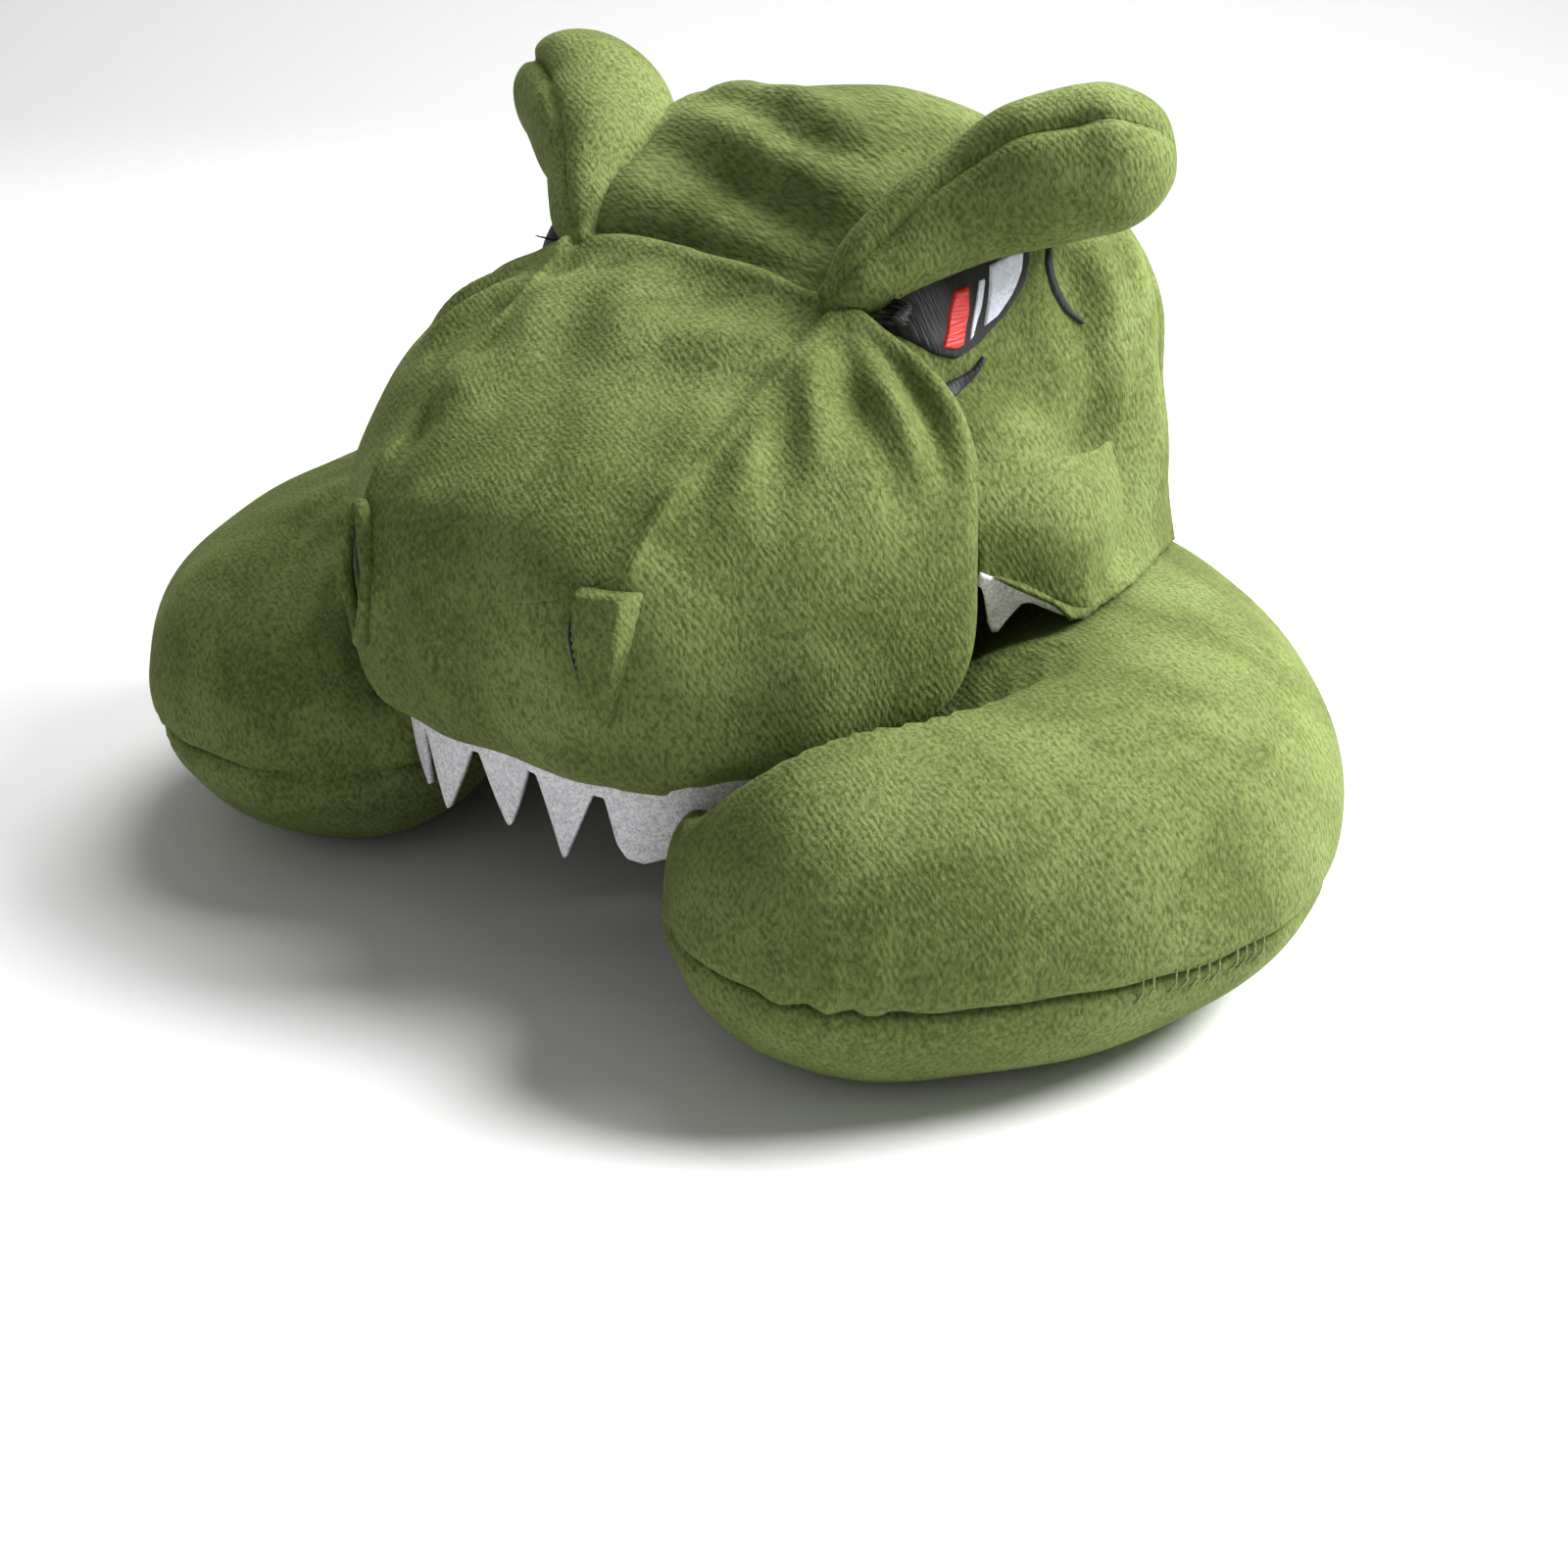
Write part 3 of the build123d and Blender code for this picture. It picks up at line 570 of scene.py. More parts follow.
def linear(code):
    """A hex sRGB colour as the linear values that the shaders take."""
    parts = [int(code[i : i + 2], 16) / 255 for i in (1, 3, 5)]
    return [p / 12.92 if p <= 0.04045 else ((p + 0.055) / 1.055) ** 2.4 for p in parts]


def add_node(tree, kind, inputs=None, **settings):
    """One node with its settings, its inputs set to values or linked to other nodes' outputs."""
    made = tree.nodes.new(kind)
    for key, value in settings.items():
        setattr(made, key, value)
    for key, value in (inputs or {}).items():
        if isinstance(value, bpy.types.NodeSocket):
            tree.links.new(value, made.inputs[key])
        else:
            made.inputs[key].default_value = value
    return made


def finish_of(name, roughness, sheen=0.0, tint="#ffffff", sheen_roughness=0.5, specular=0.3):
    """A new material with its shader, the object's coordinates and the values that don't vary."""
    made = bpy.data.materials.get(name) or bpy.data.materials.new(name)
    made.use_nodes = True
    tree = made.node_tree
    tree.nodes.clear()
    shader = add_node(
        tree, "ShaderNodeBsdfPrincipled",
        {
            "Roughness": roughness, "Sheen Weight": sheen, "Sheen Roughness": sheen_roughness,
            "Specular IOR Level": specular
        }
    )
    shader.inputs["Sheen Tint"].default_value = (*linear(tint), 1)
    add_node(tree, "ShaderNodeOutputMaterial", {"Surface": shader.outputs[0]})
    place = add_node(tree, "ShaderNodeTexCoord").outputs["Object"]
    return made, tree, shader, place


def noise(tree, place, scale, detail, **more):
    """A noise texture's value, 0 to 1."""
    inputs = {"Vector": place, "Scale": scale, "Detail": detail, **more}
    return add_node(tree, "ShaderNodeTexNoise", inputs).outputs[0]


def stretched(tree, value, a, b, low=0.0, high=1.0):
    """A value taken from the range a..b to the range low..high."""
    return add_node(tree, "ShaderNodeMapRange", {0: value, 1: a, 2: b, 3: low, 4: high}).outputs[0]


def mixed(tree, share, first, second):
    """Two colours mixed by a share."""
    return add_node(tree, "ShaderNodeMix", {0: share, 6: first, 7: second}, data_type="RGBA").outputs[2]


def weighed(tree, value, weight, other):
    """A value times a weight, plus another value."""
    return add_node(
        tree, "ShaderNodeMath", {0: value, 1: weight, 2: other}, operation="MULTIPLY_ADD"
    ).outputs[0]


def finished(tree, shader, colour, height, strength, distance):
    """Links a finish's colour, and its relief through a bump."""
    tree.links.new(colour, shader.inputs["Base Color"])
    relief = {"Height": height, "Strength": strength, "Distance": distance}
    tree.links.new(add_node(tree, "ShaderNodeBump", relief).outputs[0], shader.inputs["Normal"])


def shades(tree, factor, low, high, a=0.0, b=1.0):
    """Two colours mixed by a value, which is first stretched from a..b to 0..1."""
    return mixed(tree, stretched(tree, factor, a, b), low, high)


def plush(name, base, depth, light, lay=(1.0, 1.0, 0.6), sheen=0.3):
    """Short pile as colour and bump only: tufts in faint rows, with brushed drifts painted lighter and darker for the
    light their nap catches, painted shade between the tufts and rows, and painted highlights on the tips.
    """
    # depth is the painted shade colour between the tufts, light the painted highlight colour of the tips
    made, tree, shader, place = finish_of(name, 0.94, sheen, "#8fa060", 0.4, 0.08)
    waver = add_node(
        tree, "ShaderNodeTexNoise", {"Vector": place, "Scale": 45.0, "Detail": 2.0}
    ).outputs["Color"]
    bent = add_node(tree, "ShaderNodeVectorMath", {0: waver, "Scale": 0.006}, operation="SCALE").outputs[0]
    moved = add_node(tree, "ShaderNodeVectorMath", {0: place, 1: bent}, operation="ADD").outputs[0]
    laid = add_node(tree, "ShaderNodeMapping", {0: moved, 3: lay}, vector_type="POINT").outputs[0]
    tuft = noise(tree, laid, 950.0, 2.0, Roughness=0.6)
    clump = noise(tree, laid, 420.0, 2.0, Roughness=0.6)
    slant = add_node(tree, "ShaderNodeMapping", {0: moved, 2: (0.5, 0.4, 0.3)}, vector_type="POINT").outputs[0]
    rows = add_node(
        tree, "ShaderNodeTexWave",
        {"Vector": slant, "Scale": 240.0, "Distortion": 2.2, "Detail": 1.0, "Detail Scale": 1.4},
        bands_direction="DIAGONAL"
    ).outputs[1]
    # painted light and shade: broad drifts of brushed nap, made lighter and darker for the light they catch
    brushed = noise(tree, place, 24.0, 4.0, Roughness=0.55, Distortion=0.8)
    soft = shades(tree, brushed, (*base, 1), (*light, 1), 0.42, 0.78)
    shadowed = stretched(tree, brushed, 0.5, 0.3, high=0.3)
    soft = mixed(tree, shadowed, soft, (*depth, 1))
    # painted shade: the darker colour laid in the gaps between tufts
    pile_gap_shade = stretched(tree, tuft, 0.54, 0.34, high=0.6)
    soft = mixed(tree, pile_gap_shade, soft, (*depth, 1))
    # painted highlight: the lighter colour laid on the pile's tips
    tips = stretched(tree, tuft, 0.55, 0.75, high=0.5)
    soft = mixed(tree, tips, soft, (*light, 1))
    # painted shade: the darker colour laid in the furrows between the pile's rows
    rib_furrow_shade = stretched(tree, rows, 0.75, 0.1, high=0.13)
    soft = mixed(tree, rib_furrow_shade, soft, (*depth, 1))
    both = weighed(tree, clump, 0.9, tuft)
    both = weighed(tree, rows, 0.2, both)
    finished(tree, shader, soft, both, 0.45, 0.0008)
    return made


def needle_felt(name, base, shade, fibre=900.0):
    """Pressed wool felt: matt, faintly mottled with matted fibres half a millimetre apart, their hollows painted darker
    as shade.
    """
    made, tree, shader, place = finish_of(name, 0.95, 0.15, "#ffffff", 0.6, 0.1)
    mat = noise(tree, place, fibre, 4.0, Distortion=1.6)
    # painted shade: the hollows between fibres take the darker shade colour
    finished(tree, shader, shades(tree, mat, (*shade, 1), (*base, 1), 0.34, 0.6), mat, 0.35, 0.0005)
    return made


def woven(name, base, shade, pitch_mm, turned=0.0, roughness=0.7):
    """Woven cloth or tape: a raised rib every pitch_mm crossed by finer threads, which catches light in lines, with the
    troughs painted darker as shade.
    """
    made, tree, shader, place = finish_of(name, roughness, 0.2, "#ff9a80", 0.4, 0.25)
    spun = add_node(
        tree, "ShaderNodeMapping", {0: place, 2: (turned, 0.0, turned)}, vector_type="POINT"
    ).outputs[0]
    rib = add_node(
        tree, "ShaderNodeTexWave", {"Vector": spun, "Scale": 0.314 / (pitch_mm * MM), "Distortion": 0.4},
        bands_direction="DIAGONAL"
    ).outputs[1]
    grain = noise(tree, spun, 700.0, 2.0)
    weave = weighed(tree, grain, 0.5, rib)
    # painted shade: the weave's low troughs take the darker shade colour
    finished(tree, shader, shades(tree, weave, (*shade, 1), (*base, 1), 0.1, 1.2), weave, 0.5, 0.0006)
    return made


def satin_stitch(name, base, glint, across=(1.0, 2200.0, 260.0), roughness=0.42):
    """Machine embroidery in rayon thread: close parallel threads with a soft shine, the threads and stray bright loops
    painted lighter as highlights.
    """
    made, tree, shader, place = finish_of(name, roughness, 0.1, "#ffffff", 0.3, 0.5)
    laid = add_node(
        tree, "ShaderNodeMapping", {0: place, 3: across, 2: (0.45, 0.0, 0.0)}, vector_type="POINT"
    ).outputs[0]
    thread = noise(tree, laid, 0.62, 1.0)
    speck = noise(tree, place, 1500.0, 1.0)
    glint_share = weighed(tree, speck, 0.8, thread)
    # painted highlight: threads and specks mixed towards the glint colour
    finished(tree, shader, shades(tree, glint_share, (*base, 1), (*glint, 1), 0.95, 1.5), thread, 0.8, 0.0005)
    return made


def cloths():
    """Every finish of the pillow, made once from the colours in the panel."""
    c = bpy.context.scene.neck_pillow_colours
    # deep is the pile's painted shade colour and pale its painted highlight colour
    green, deep, pale = list(c.plush), list(c.plush_gap_shade), list(c.plush_tips)
    # painted shade: darker copies of the plush colours for the crown
    dim = [v * 0.93 for v in green], [v * 0.9 for v in deep], [v * 0.9 for v in pale]
    return {
        # lit, open pile of the arms and cheeks
        "plush": plush("sheared_green_velboa", green, deep, pale),
        # the same cloth painted darker as shade, for its pile running towards the eye
        "crown": plush("green_velboa_painted_shade", *dim, lay=(0.32, 1.0, 1.0), sheen=0.25),
        "lining": woven("red_brushed_tricot_lining", list(c.lining), linear("#6d0a10"), 1.1, 0.3, 0.85),
        "tape": woven("red_twill_tape", linear("#b0161c"), linear("#6d0c10"), 1.6, 0.8, 0.6),
        "felt": needle_felt("grey_white_wool_felt", list(c.felt), linear("#b9b6be")),
        # painted shade: black sheets standing in for the shade inside the nostrils' openings
        "pocket": needle_felt("black_painted_pocket_shade", linear("#141612"), linear("#070807")),
        # each satin stitch's second colour is its painted highlight
        "black": satin_stitch("black_rayon_satin_stitch", linear("#08090a"), linear("#131416"), roughness=0.6),
        "red": satin_stitch(
            "red_rayon_satin_stitch", list(c.thread_red), linear("#ef4030"), (1.0, 260.0, 2200.0)
        ),
        "white": needle_felt("blue_white_brushed_felt", linear("#e2e6ee"), linear("#c4cad6")),
        "thread": satin_stitch(
            "green_polyester_sewing_thread", linear("#5d6c33"), linear("#a3b36c"), (900.0, 900.0, 900.0)
        ),
    }


# ------------------------------------------------------------------ small shapes


def surface_of(names, axis):
    """A finder that drops points along an axis onto the named pieces and returns how far out they lie."""
    parts = [bpy.data.objects[n].data for n in names]
    verts, polys = [], []
    for mesh in parts:
        first = len(verts)
        verts += [v.co.copy() for v in mesh.vertices]
        polys += [[first + i for i in p.vertices] for p in mesh.polygons]
    tree = BVHTree.FromPolygons(verts, polys)
    way = Vector(axis)

    def find(point, fallback):
        start = Vector(point) * MM
        start += way * (-0.4 - start.dot(way))
        spot = tree.ray_cast(start, way)[0]
        if spot is None:
            spot = tree.find_nearest(start + way * (0.4 + fallback * MM))[0]
        return spot.dot(way) / MM

    return find


def rounded(outline, count, soften=2):
    """A closed outline walked in even steps, with its corners slightly softened."""
    ring = np.vstack([outline, outline[:1]]).astype(float)
    run = np.concatenate([[0], np.cumsum(np.linalg.norm(np.diff(ring, axis=0), axis=1))])
    at = np.linspace(0, run[-1], count, endpoint=False)
    line = np.stack([np.interp(at, run, ring[:, k]) for k in range(ring.shape[1])], 1)
    for _ in range(soften):
        line = (np.roll(line, 1, 0) + 2 * line + np.roll(line, -1, 0)) / 4
    return line


def patch_grid(outline, lay, lift, height, rings=12, count=200):
    """A raised pad over an outline: rings shrink to its middle, laid on the cloth by lay(a, b, rise)."""
    line = rounded(outline, count)
    middle = line.mean(0)
    rows = []
    shares = [1.0, 0.995, 0.97, 0.93, 0.87] + list(np.linspace(0.8, 0.0, rings))
    rises = [-0.8, lift * 0.5, lift + height * 0.6, lift + height * 0.9] + [lift + height] * (rings + 1)
    for share, rise in zip(shares, rises):
        rows.append([lay(*(middle + share * (p - middle)), rise) for p in line])
    return np.array(rows)


def ribbon_grid(line, half_widths, lay, lift, height, count=90, across=9):
    """A raised ridge along a line of (a, b) points, as wide as half_widths says from end to end."""
    path = spaced(line, count)
    step = np.gradient(path, axis=0)
    step /= np.linalg.norm(step, axis=1, keepdims=True)
    side = np.stack([-step[:, 1], step[:, 0]], 1)
    wide = np.interp(np.linspace(0, 1, count), np.linspace(0, 1, len(half_widths)), half_widths)
    rows = []
    for k, at in enumerate(path):
        row = []
        for t in np.linspace(-1, 1, across):
            spot = at + side[k] * wide[k] * t
            row.append(lay(*spot, lift - 0.7 * (abs(t) > 0.99) + height * math.sqrt(max(0, 1 - t * t))))
        rows.append(row)
    return np.array(rows)


def grid_piece(name, grid, material, around=False, keep=None):
    """A mesh from a grid of rows and columns."""
    rows, columns = grid.shape[:2]
    return add_mesh(name, grid.reshape(-1, 3), grid_faces(rows, columns, around, keep), material)


def face_out(made, towards):
    """Turns a sheet's faces round when, on the whole, they face away from a direction."""
    mesh = made.data
    total = Vector((0, 0, 0))
    for p in mesh.polygons:
        total += p.normal * p.area
    if total.dot(Vector(towards)) < 0:
        mesh.flip_normals()


def attach(made, body, slot, *nodes):
    """Lets a piece ride on a body, in place of its nodes; its slot argument is not used."""
    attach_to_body(made, body)
    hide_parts(*nodes)


def stitch_tree():
    """Geometry Nodes that lay small stitches along a line of edges, slightly uneven as by hand."""
    tree = bpy.data.node_groups.get("stitch_row") or bpy.data.node_groups.new("stitch_row", "GeometryNodeTree")
    if tree.nodes:
        return tree
    face = tree.interface
    face.new_socket("Geometry", in_out="INPUT", socket_type="NodeSocketGeometry")
    for label, value in (
        ("Spacing", 0.003), ("Stitch length", 0.0022), ("Thread width", 0.0009), ("Unevenness", 0.25)
    ):
        made = face.new_socket(label, in_out="INPUT", socket_type="NodeSocketFloat")
        made.default_value = value
    face.new_socket("Thread", in_out="INPUT", socket_type="NodeSocketMaterial")
    face.new_socket("Geometry", in_out="OUTPUT", socket_type="NodeSocketGeometry")
    get = add_node(tree, "NodeGroupInput").outputs
    line = add_node(tree, "GeometryNodeMeshToCurve", {0: get["Geometry"]}).outputs[0]
    line = add_node(
        tree, "GeometryNodeResampleCurve", {"Curve": line, "Length": get["Spacing"]}, mode="LENGTH"
    ).outputs[0]
    bead = add_node(tree, "GeometryNodeMeshUVSphere", {"Segments": 8, "Rings": 6, "Radius": 0.5}).outputs[0]
    size = add_node(
        tree, "ShaderNodeCombineXYZ", {0: get["Thread width"], 1: get["Thread width"], 2: get["Stitch length"]}
    ).outputs[0]
    ahead = add_node(tree, "GeometryNodeInputTangent").outputs[0]
    stray = add_node(
        tree, "FunctionNodeRandomValue", {0: (-1, -1, -1), 1: (1, 1, 1), "Seed": 4}, data_type="FLOAT_VECTOR"
    ).outputs[0]
    stray = add_node(
        tree, "ShaderNodeVectorMath", {0: stray, "Scale": get["Unevenness"]}, operation="SCALE"
    ).outputs[0]
    ahead = add_node(tree, "ShaderNodeVectorMath", {0: ahead, 1: stray}, operation="ADD").outputs[0]
    turn = add_node(tree, "FunctionNodeAlignRotationToVector", {"Vector": ahead}, axis="Z").outputs[0]
    many = add_node(
        tree, "GeometryNodeInstanceOnPoints",
        {"Points": line, "Instance": bead, "Rotation": turn, "Scale": size}
    ).outputs[0]
    plain = add_node(tree, "GeometryNodeRealizeInstances", {0: many}).outputs[0]
    plain = add_node(tree, "GeometryNodeSetMaterial", {"Geometry": plain, "Material": get["Thread"]}).outputs[0]
    add_node(tree, "NodeGroupOutput", {0: plain})
    return tree


def stitch_row(name, lines, spacing, length, width, material, uneven=0.25):
    """Stitches along lines of points in millimetres, turned into one plain mesh."""
    points, edges = [], []
    for line in lines:
        first = len(points)
        points += [tuple(p) for p in line]
        edges += [(first + i, first + i + 1) for i in range(len(line) - 1)]
    guide = bpy.data.meshes.new(name + "_guide")
    guide.from_pydata([[v * MM for v in p] for p in points], edges, [])
    made = bpy.data.objects.new(name, guide)
    bpy.context.scene.collection.objects.link(made)
    tree = stitch_tree()
    row = made.modifiers.new("stitches", "NODES")
    row.node_group = tree
    values = {
        "Spacing": spacing * MM, "Stitch length": length * MM, "Thread width": width * MM, "Unevenness": uneven,
        "Thread": material
    }
    for item in tree.interface.items_tree:
        if item.in_out == "INPUT" and item.name in values:
            row[item.identifier] = values[item.name]
    made.update_tag()
    bpy.context.view_layer.update()
    plain = bpy.data.meshes.new_from_object(made.evaluated_get(bpy.context.evaluated_depsgraph_get()))
    made.modifiers.clear()
    made.data = plain
    for p in plain.polygons:
        p.use_smooth = True
    return made


# ------------------------------------------------------------------ settings

SWATCH = dict(subtype="COLOR", size=3, min=0.0, max=1.0)


class NeckPillowColours(bpy.types.PropertyGroup):
    """Colours of the cloths and threads."""

    plush: FloatVectorProperty(
        name="Plush", description="Velboa pile seen straight on", default=linear("#66713f"), **SWATCH
    )
    # painted shade colour for the gaps between the pile's tufts
    plush_gap_shade: FloatVectorProperty(
        name="Plush depth", description="The pile between its tufts", default=linear("#363d20"), **SWATCH
    )
    plush_tips: FloatVectorProperty(
        name="Plush tips", description="The pile's lit tips", default=linear("#7f8c56"), **SWATCH
    )
    lining: FloatVectorProperty(
        name="Lining", description="Mouth and hood lining", default=linear("#a3121a"), **SWATCH
    )
    felt: FloatVectorProperty(
        name="Felt", description="Teeth and eye patches", default=linear("#f4f1f6"), **SWATCH
    )
    thread_red: FloatVectorProperty(
        name="Red thread", description="Red part of the eyes", default=linear("#cc1c14"), **SWATCH
    )


class NeckPillowSizes(bpy.types.PropertyGroup):
    """Sizes of the cloth, trim and stitches."""

    skin: FloatProperty(
        name="Skin", description="Thickness of the plush with its pile", default=1.2 * MM, unit="LENGTH"
    )
    lining: FloatProperty(name="Lining", description="Thickness of the lining", default=0.6 * MM, unit="LENGTH")
    felt: FloatProperty(name="Felt", description="Thickness of the felt", default=1.4 * MM, unit="LENGTH")
    tooth_tip: FloatProperty(
        name="Tooth tips", description="Height of the tooth tips above the table", default=34.0 * MM,
        unit="LENGTH"
    )
    tooth_root: FloatProperty(
        name="Tooth roots", description="Height of the gaps between teeth", default=54.0 * MM, unit="LENGTH"
    )
    stitch_pitch: FloatProperty(
        name="Stitch pitch", description="From one hand stitch to the next", default=3.6 * MM, unit="LENGTH"
    )
    stitch_count: IntProperty(
        name="Ladder stitches", description="Stitches that close the stuffing gap", default=11, min=4, max=30
    )


def colours():
    return bpy.context.scene.neck_pillow_colours


def sizes():
    return bpy.context.scene.neck_pillow_sizes


ARM_BEND = {
    "left_arm": ((0.0818, 0.0445, 0.044), (0.1099, 0.0160, 0.044)),
    "right_arm": ((-0.0818, 0.0445, 0.044), (-0.1099, 0.0160, 0.044))
}


def sided(side):
    return "left" if side > 0 else "right"


# ------------------------------------------------------------------ operators


class NECK_OT_pillow(bpy.types.Operator):
    """Sews the U-shaped pillow: top and bottom covers with a puckered seam between them"""

    bl_idname = "neck_pillow.pillow"
    bl_label = "Sew pillow"

    def execute(self, context):
        cloth = cloths()["plush"]
        for side in (1, -1):
            grid, over = pillow_skin(side)
            rows, columns = grid.shape[:2]
            top = np.zeros((rows, columns), bool)
            top[:, : over - 1] = True
            arm = sided(side) + "_arm"
            for label, keep, node in (
                ("top", top, "pillow_top_cover"), ("bottom", ~top, "pillow_bottom_cover")
            ):
                made = grid_piece(f"pillow_{label}_{sided(side)}", grid, cloth, around=True, keep=keep)
                face_out(made, (0, 0, 1 if label == "top" else -1))
                solid(made, sizes().skin / MM)
                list(ARM_BEND[arm])
                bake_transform(made)
                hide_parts(node, "pillow_back_filling", arm + "_filling")
        return {"FINISHED"}


class NECK_OT_snout(bpy.types.Operator):
    """Sews the stuffed snout from its top panel and two cheeks"""

    bl_idname = "neck_pillow.snout"
    bl_label = "Sew snout"

    def execute(self, context):
        cloth = cloths()
        grid, _ = snout_skin()
        rows, columns = grid.shape[:2]
        over = 100
        under_side = (grid[..., 2] < 100) & (
            (grid[..., 0] / MOUTH_WIDE) ** 2 + ((grid[..., 1] - MOUTH_BACK) / MOUTH_DEEP) ** 2 < 1
        )
        hollow = under_side[:-1, :] & (np.arange(columns) > over)[None]
        hollow = np.vstack([hollow, hollow[-1:]])
        number = np.arange(columns)[None].repeat(rows, 0)
        middle = over + (columns - over) // 2
        panels = (
            ("snout_top_panel_plush", number < over, "snout_top_panel", (0, -0.4, 1)),
            ("snout_right_cheek_plush", (number >= over) & (number < middle), "snout_right_cheek", (-1, 0, 0)),
            ("snout_left_cheek_plush", number >= middle, "snout_left_cheek", (1, 0, 0)),
        )
        for name, keep, node, way in panels:
            made = grid_piece(name, grid, cloth["plush"], around=True, keep=keep & ~hollow)
            face_out(made, way)
            solid(made, sizes().skin / MM)
            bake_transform(made)
            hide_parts(node, "snout_filling")
        return {"FINISHED"}


class NECK_OT_mouth(bpy.types.Operator):
    """Lines the mouth: the palate under the snout and the wall behind its stuffing"""

    bl_idname = "neck_pillow.mouth"
    bl_label = "Line mouth"

    def execute(self, context):
        cloth = cloths()["lining"]
        turn = np.linspace(math.pi, 2 * math.pi, 80)
        rows = []
        for b in np.linspace(0, 1, 30):
            share = math.cos(b * math.pi / 2) ** 0.55 if b < 1 else 0.0
            rows.append(
                np.stack(
                    [55.5 * share * np.cos(turn), -22.6 + 61 * share * np.sin(turn), np.full(80, 57.5 + 43 * math.sin(b * math.pi / 2) ** 1.2)],
                    1
                )
            )
        grid = np.array(rows)
        grid += 0.8 * np.stack([drift(grid, 16, 81)] * 3, -1) * (np.linspace(1, 0, 30) ** 2)[:, None, None]
        grid[..., 1] = np.minimum(grid[..., 1], -22.6)
        palate = grid_piece("palate_lining_cloth", grid, cloth)
        face_out(palate, (0, 0, -1))
        outer = np.array([(0.97 * p[0], p[2]) for p in snout_skin()[0][-1]])
        centre = np.array([0.0, 112.0])
        turn = np.linspace(-0.22 * math.pi, 1.22 * math.pi, 140)
        reach = np.arctan2(outer[:, 1] - centre[1], outer[:, 0] - centre[0])
        order = np.argsort(reach)
        distance = np.hypot(*(outer - centre).T)
        rows = []
        for share in np.linspace(0, 1, 16):
            row = []
            for a in turn:
                far = np.interp(
                    (a + math.pi) % (2 * math.pi) - math.pi, reach[order], distance[order], period=2 * math.pi
                )
                tip = centre + far * np.array([math.cos(a), math.sin(a)])
                arch = max(-1.0, min(1.0, tip[0] / 92)) * 55
                roof = 58 + 42.5 * math.sqrt(max(0.0, 1 - (arch / 55.6) ** 2))
                near = np.array([arch, roof])
                spot = near + share * (tip - near)
                row.append((spot[0], -21.8, spot[1]))
            rows.append(row)
        wall = grid_piece("forehead_lining_cloth", np.array(rows), cloth)
        face_out(wall, (0, 1, 0))
        for made, node in ((palate, "palate_lining"), (wall, "forehead_lining")):
            solid(made, sizes().lining / MM)
            attach(made, "snout", "red_lining", node)
        return {"FINISHED"}


teeth_profile = [
    # across the lip and height of the felt's lower edge, each as a share from root (1) to tip (0)
    (-61.5, 0.9), (-60.5, 0.1), (-59.0, 0.05), (-54.0, 1.0), (-52.5, 1.02), (-46.5, 0.45), (-41.0, 0.0), (-40.2, 0.0), (
        -34.2, 0.95
    ),
    (-32.2, 0.96), (-24.2, 0.02), (-23.4, 0.02), (-12.8, 1.0), (-9.4, 1.02), (-2.6, 0.1), (-1.6, 0.1), (7.0, 1.02), (10.2, 1.02), (17.2, -0.02), (
        18.1, -0.02
    ),
    (28.0, 0.98), (31.5, 0.98), (34.5, 0.4), (37.0, 0.22), (41.0, 0.16), (47.5, 0.24), (51.0, 0.5), (
        54.5, 0.96
    ), (57.0, 1.0), (61.5, 1.0),
]

lip_line = [
    (-61, -68, 62), (-56, -76, 62), (-47, -86.5, 62), (-34, -93, 62), (-16, -96, 62), (0, -96.5, 62),
    (16, -96, 62), (34, -93, 62), (47, -86.5, 62), (56, -76, 62), (61, -68, 62)
]


class NECK_OT_teeth(bpy.types.Operator):
    """Cuts the felt teeth and lays the red tape that they are sewn to"""

    bl_idname = "neck_pillow.teeth"
    bl_label = "Cut teeth"

    def execute(self, context):
        cloth = cloths()
        low, root = sizes().tooth_tip / MM, sizes().tooth_root / MM
        path = spaced(lip_line, 620)
        edge_x, edge_share = np.array(teeth_profile).T
        bottom = low + (root - low) * np.interp(path[:, 0], edge_x, edge_share)
        bottom = np.convolve(np.pad(bottom, 2, "edge"), [0.1, 0.2, 0.4, 0.2, 0.1], "valid")
        step = np.gradient(path[:, :2], axis=0)
        out = np.stack([step[:, 1], -step[:, 0]], 1) / np.linalg.norm(step, axis=1, keepdims=True)
        # the felt leans inwards as it hangs, and each tooth curls a little its own way
        rows = []
        top = 63.5
        for share in np.linspace(0, 1, 26):
            z = top + share * (bottom - top)
            hang = np.clip((60 - z) / 26, 0, 1)
            curl = 2.6 * np.sin(path[:, 0] / 8.3 + 1.1) + 1.2 * np.sin(path[:, 0] / 3.4)
            lean = 1.2 + (2.4 + 0.55 * curl) * hang
            place = path[:, :2] - out * lean[:, None]
            rows.append(np.stack([place[:, 0], place[:, 1], z], 1))
        strip = grid_piece("teeth_felt", np.array(rows), cloth["felt"])
        face_out(strip, (0, -1, 0))
        solid(strip, sizes().felt / MM)
        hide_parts("teeth_strip")
        band = [path[:, :2] - out * k for k in (4.4, 4.4, 4.6, 4.8)]
        heights = (62.5, 59.0, 56.0, 52.6)
        grid = np.array([np.column_stack([p, np.full(len(p), z)]) for p, z in zip(band, heights)])
        tape = grid_piece("mouth_tape", grid, cloth["tape"])
        face_out(tape, (0, -1, 0))
        solid(tape, 1.0)
        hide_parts("palate_edge_band")
        for made in (strip, tape):
            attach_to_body(made, "snout")
        return {"FINISHED"}


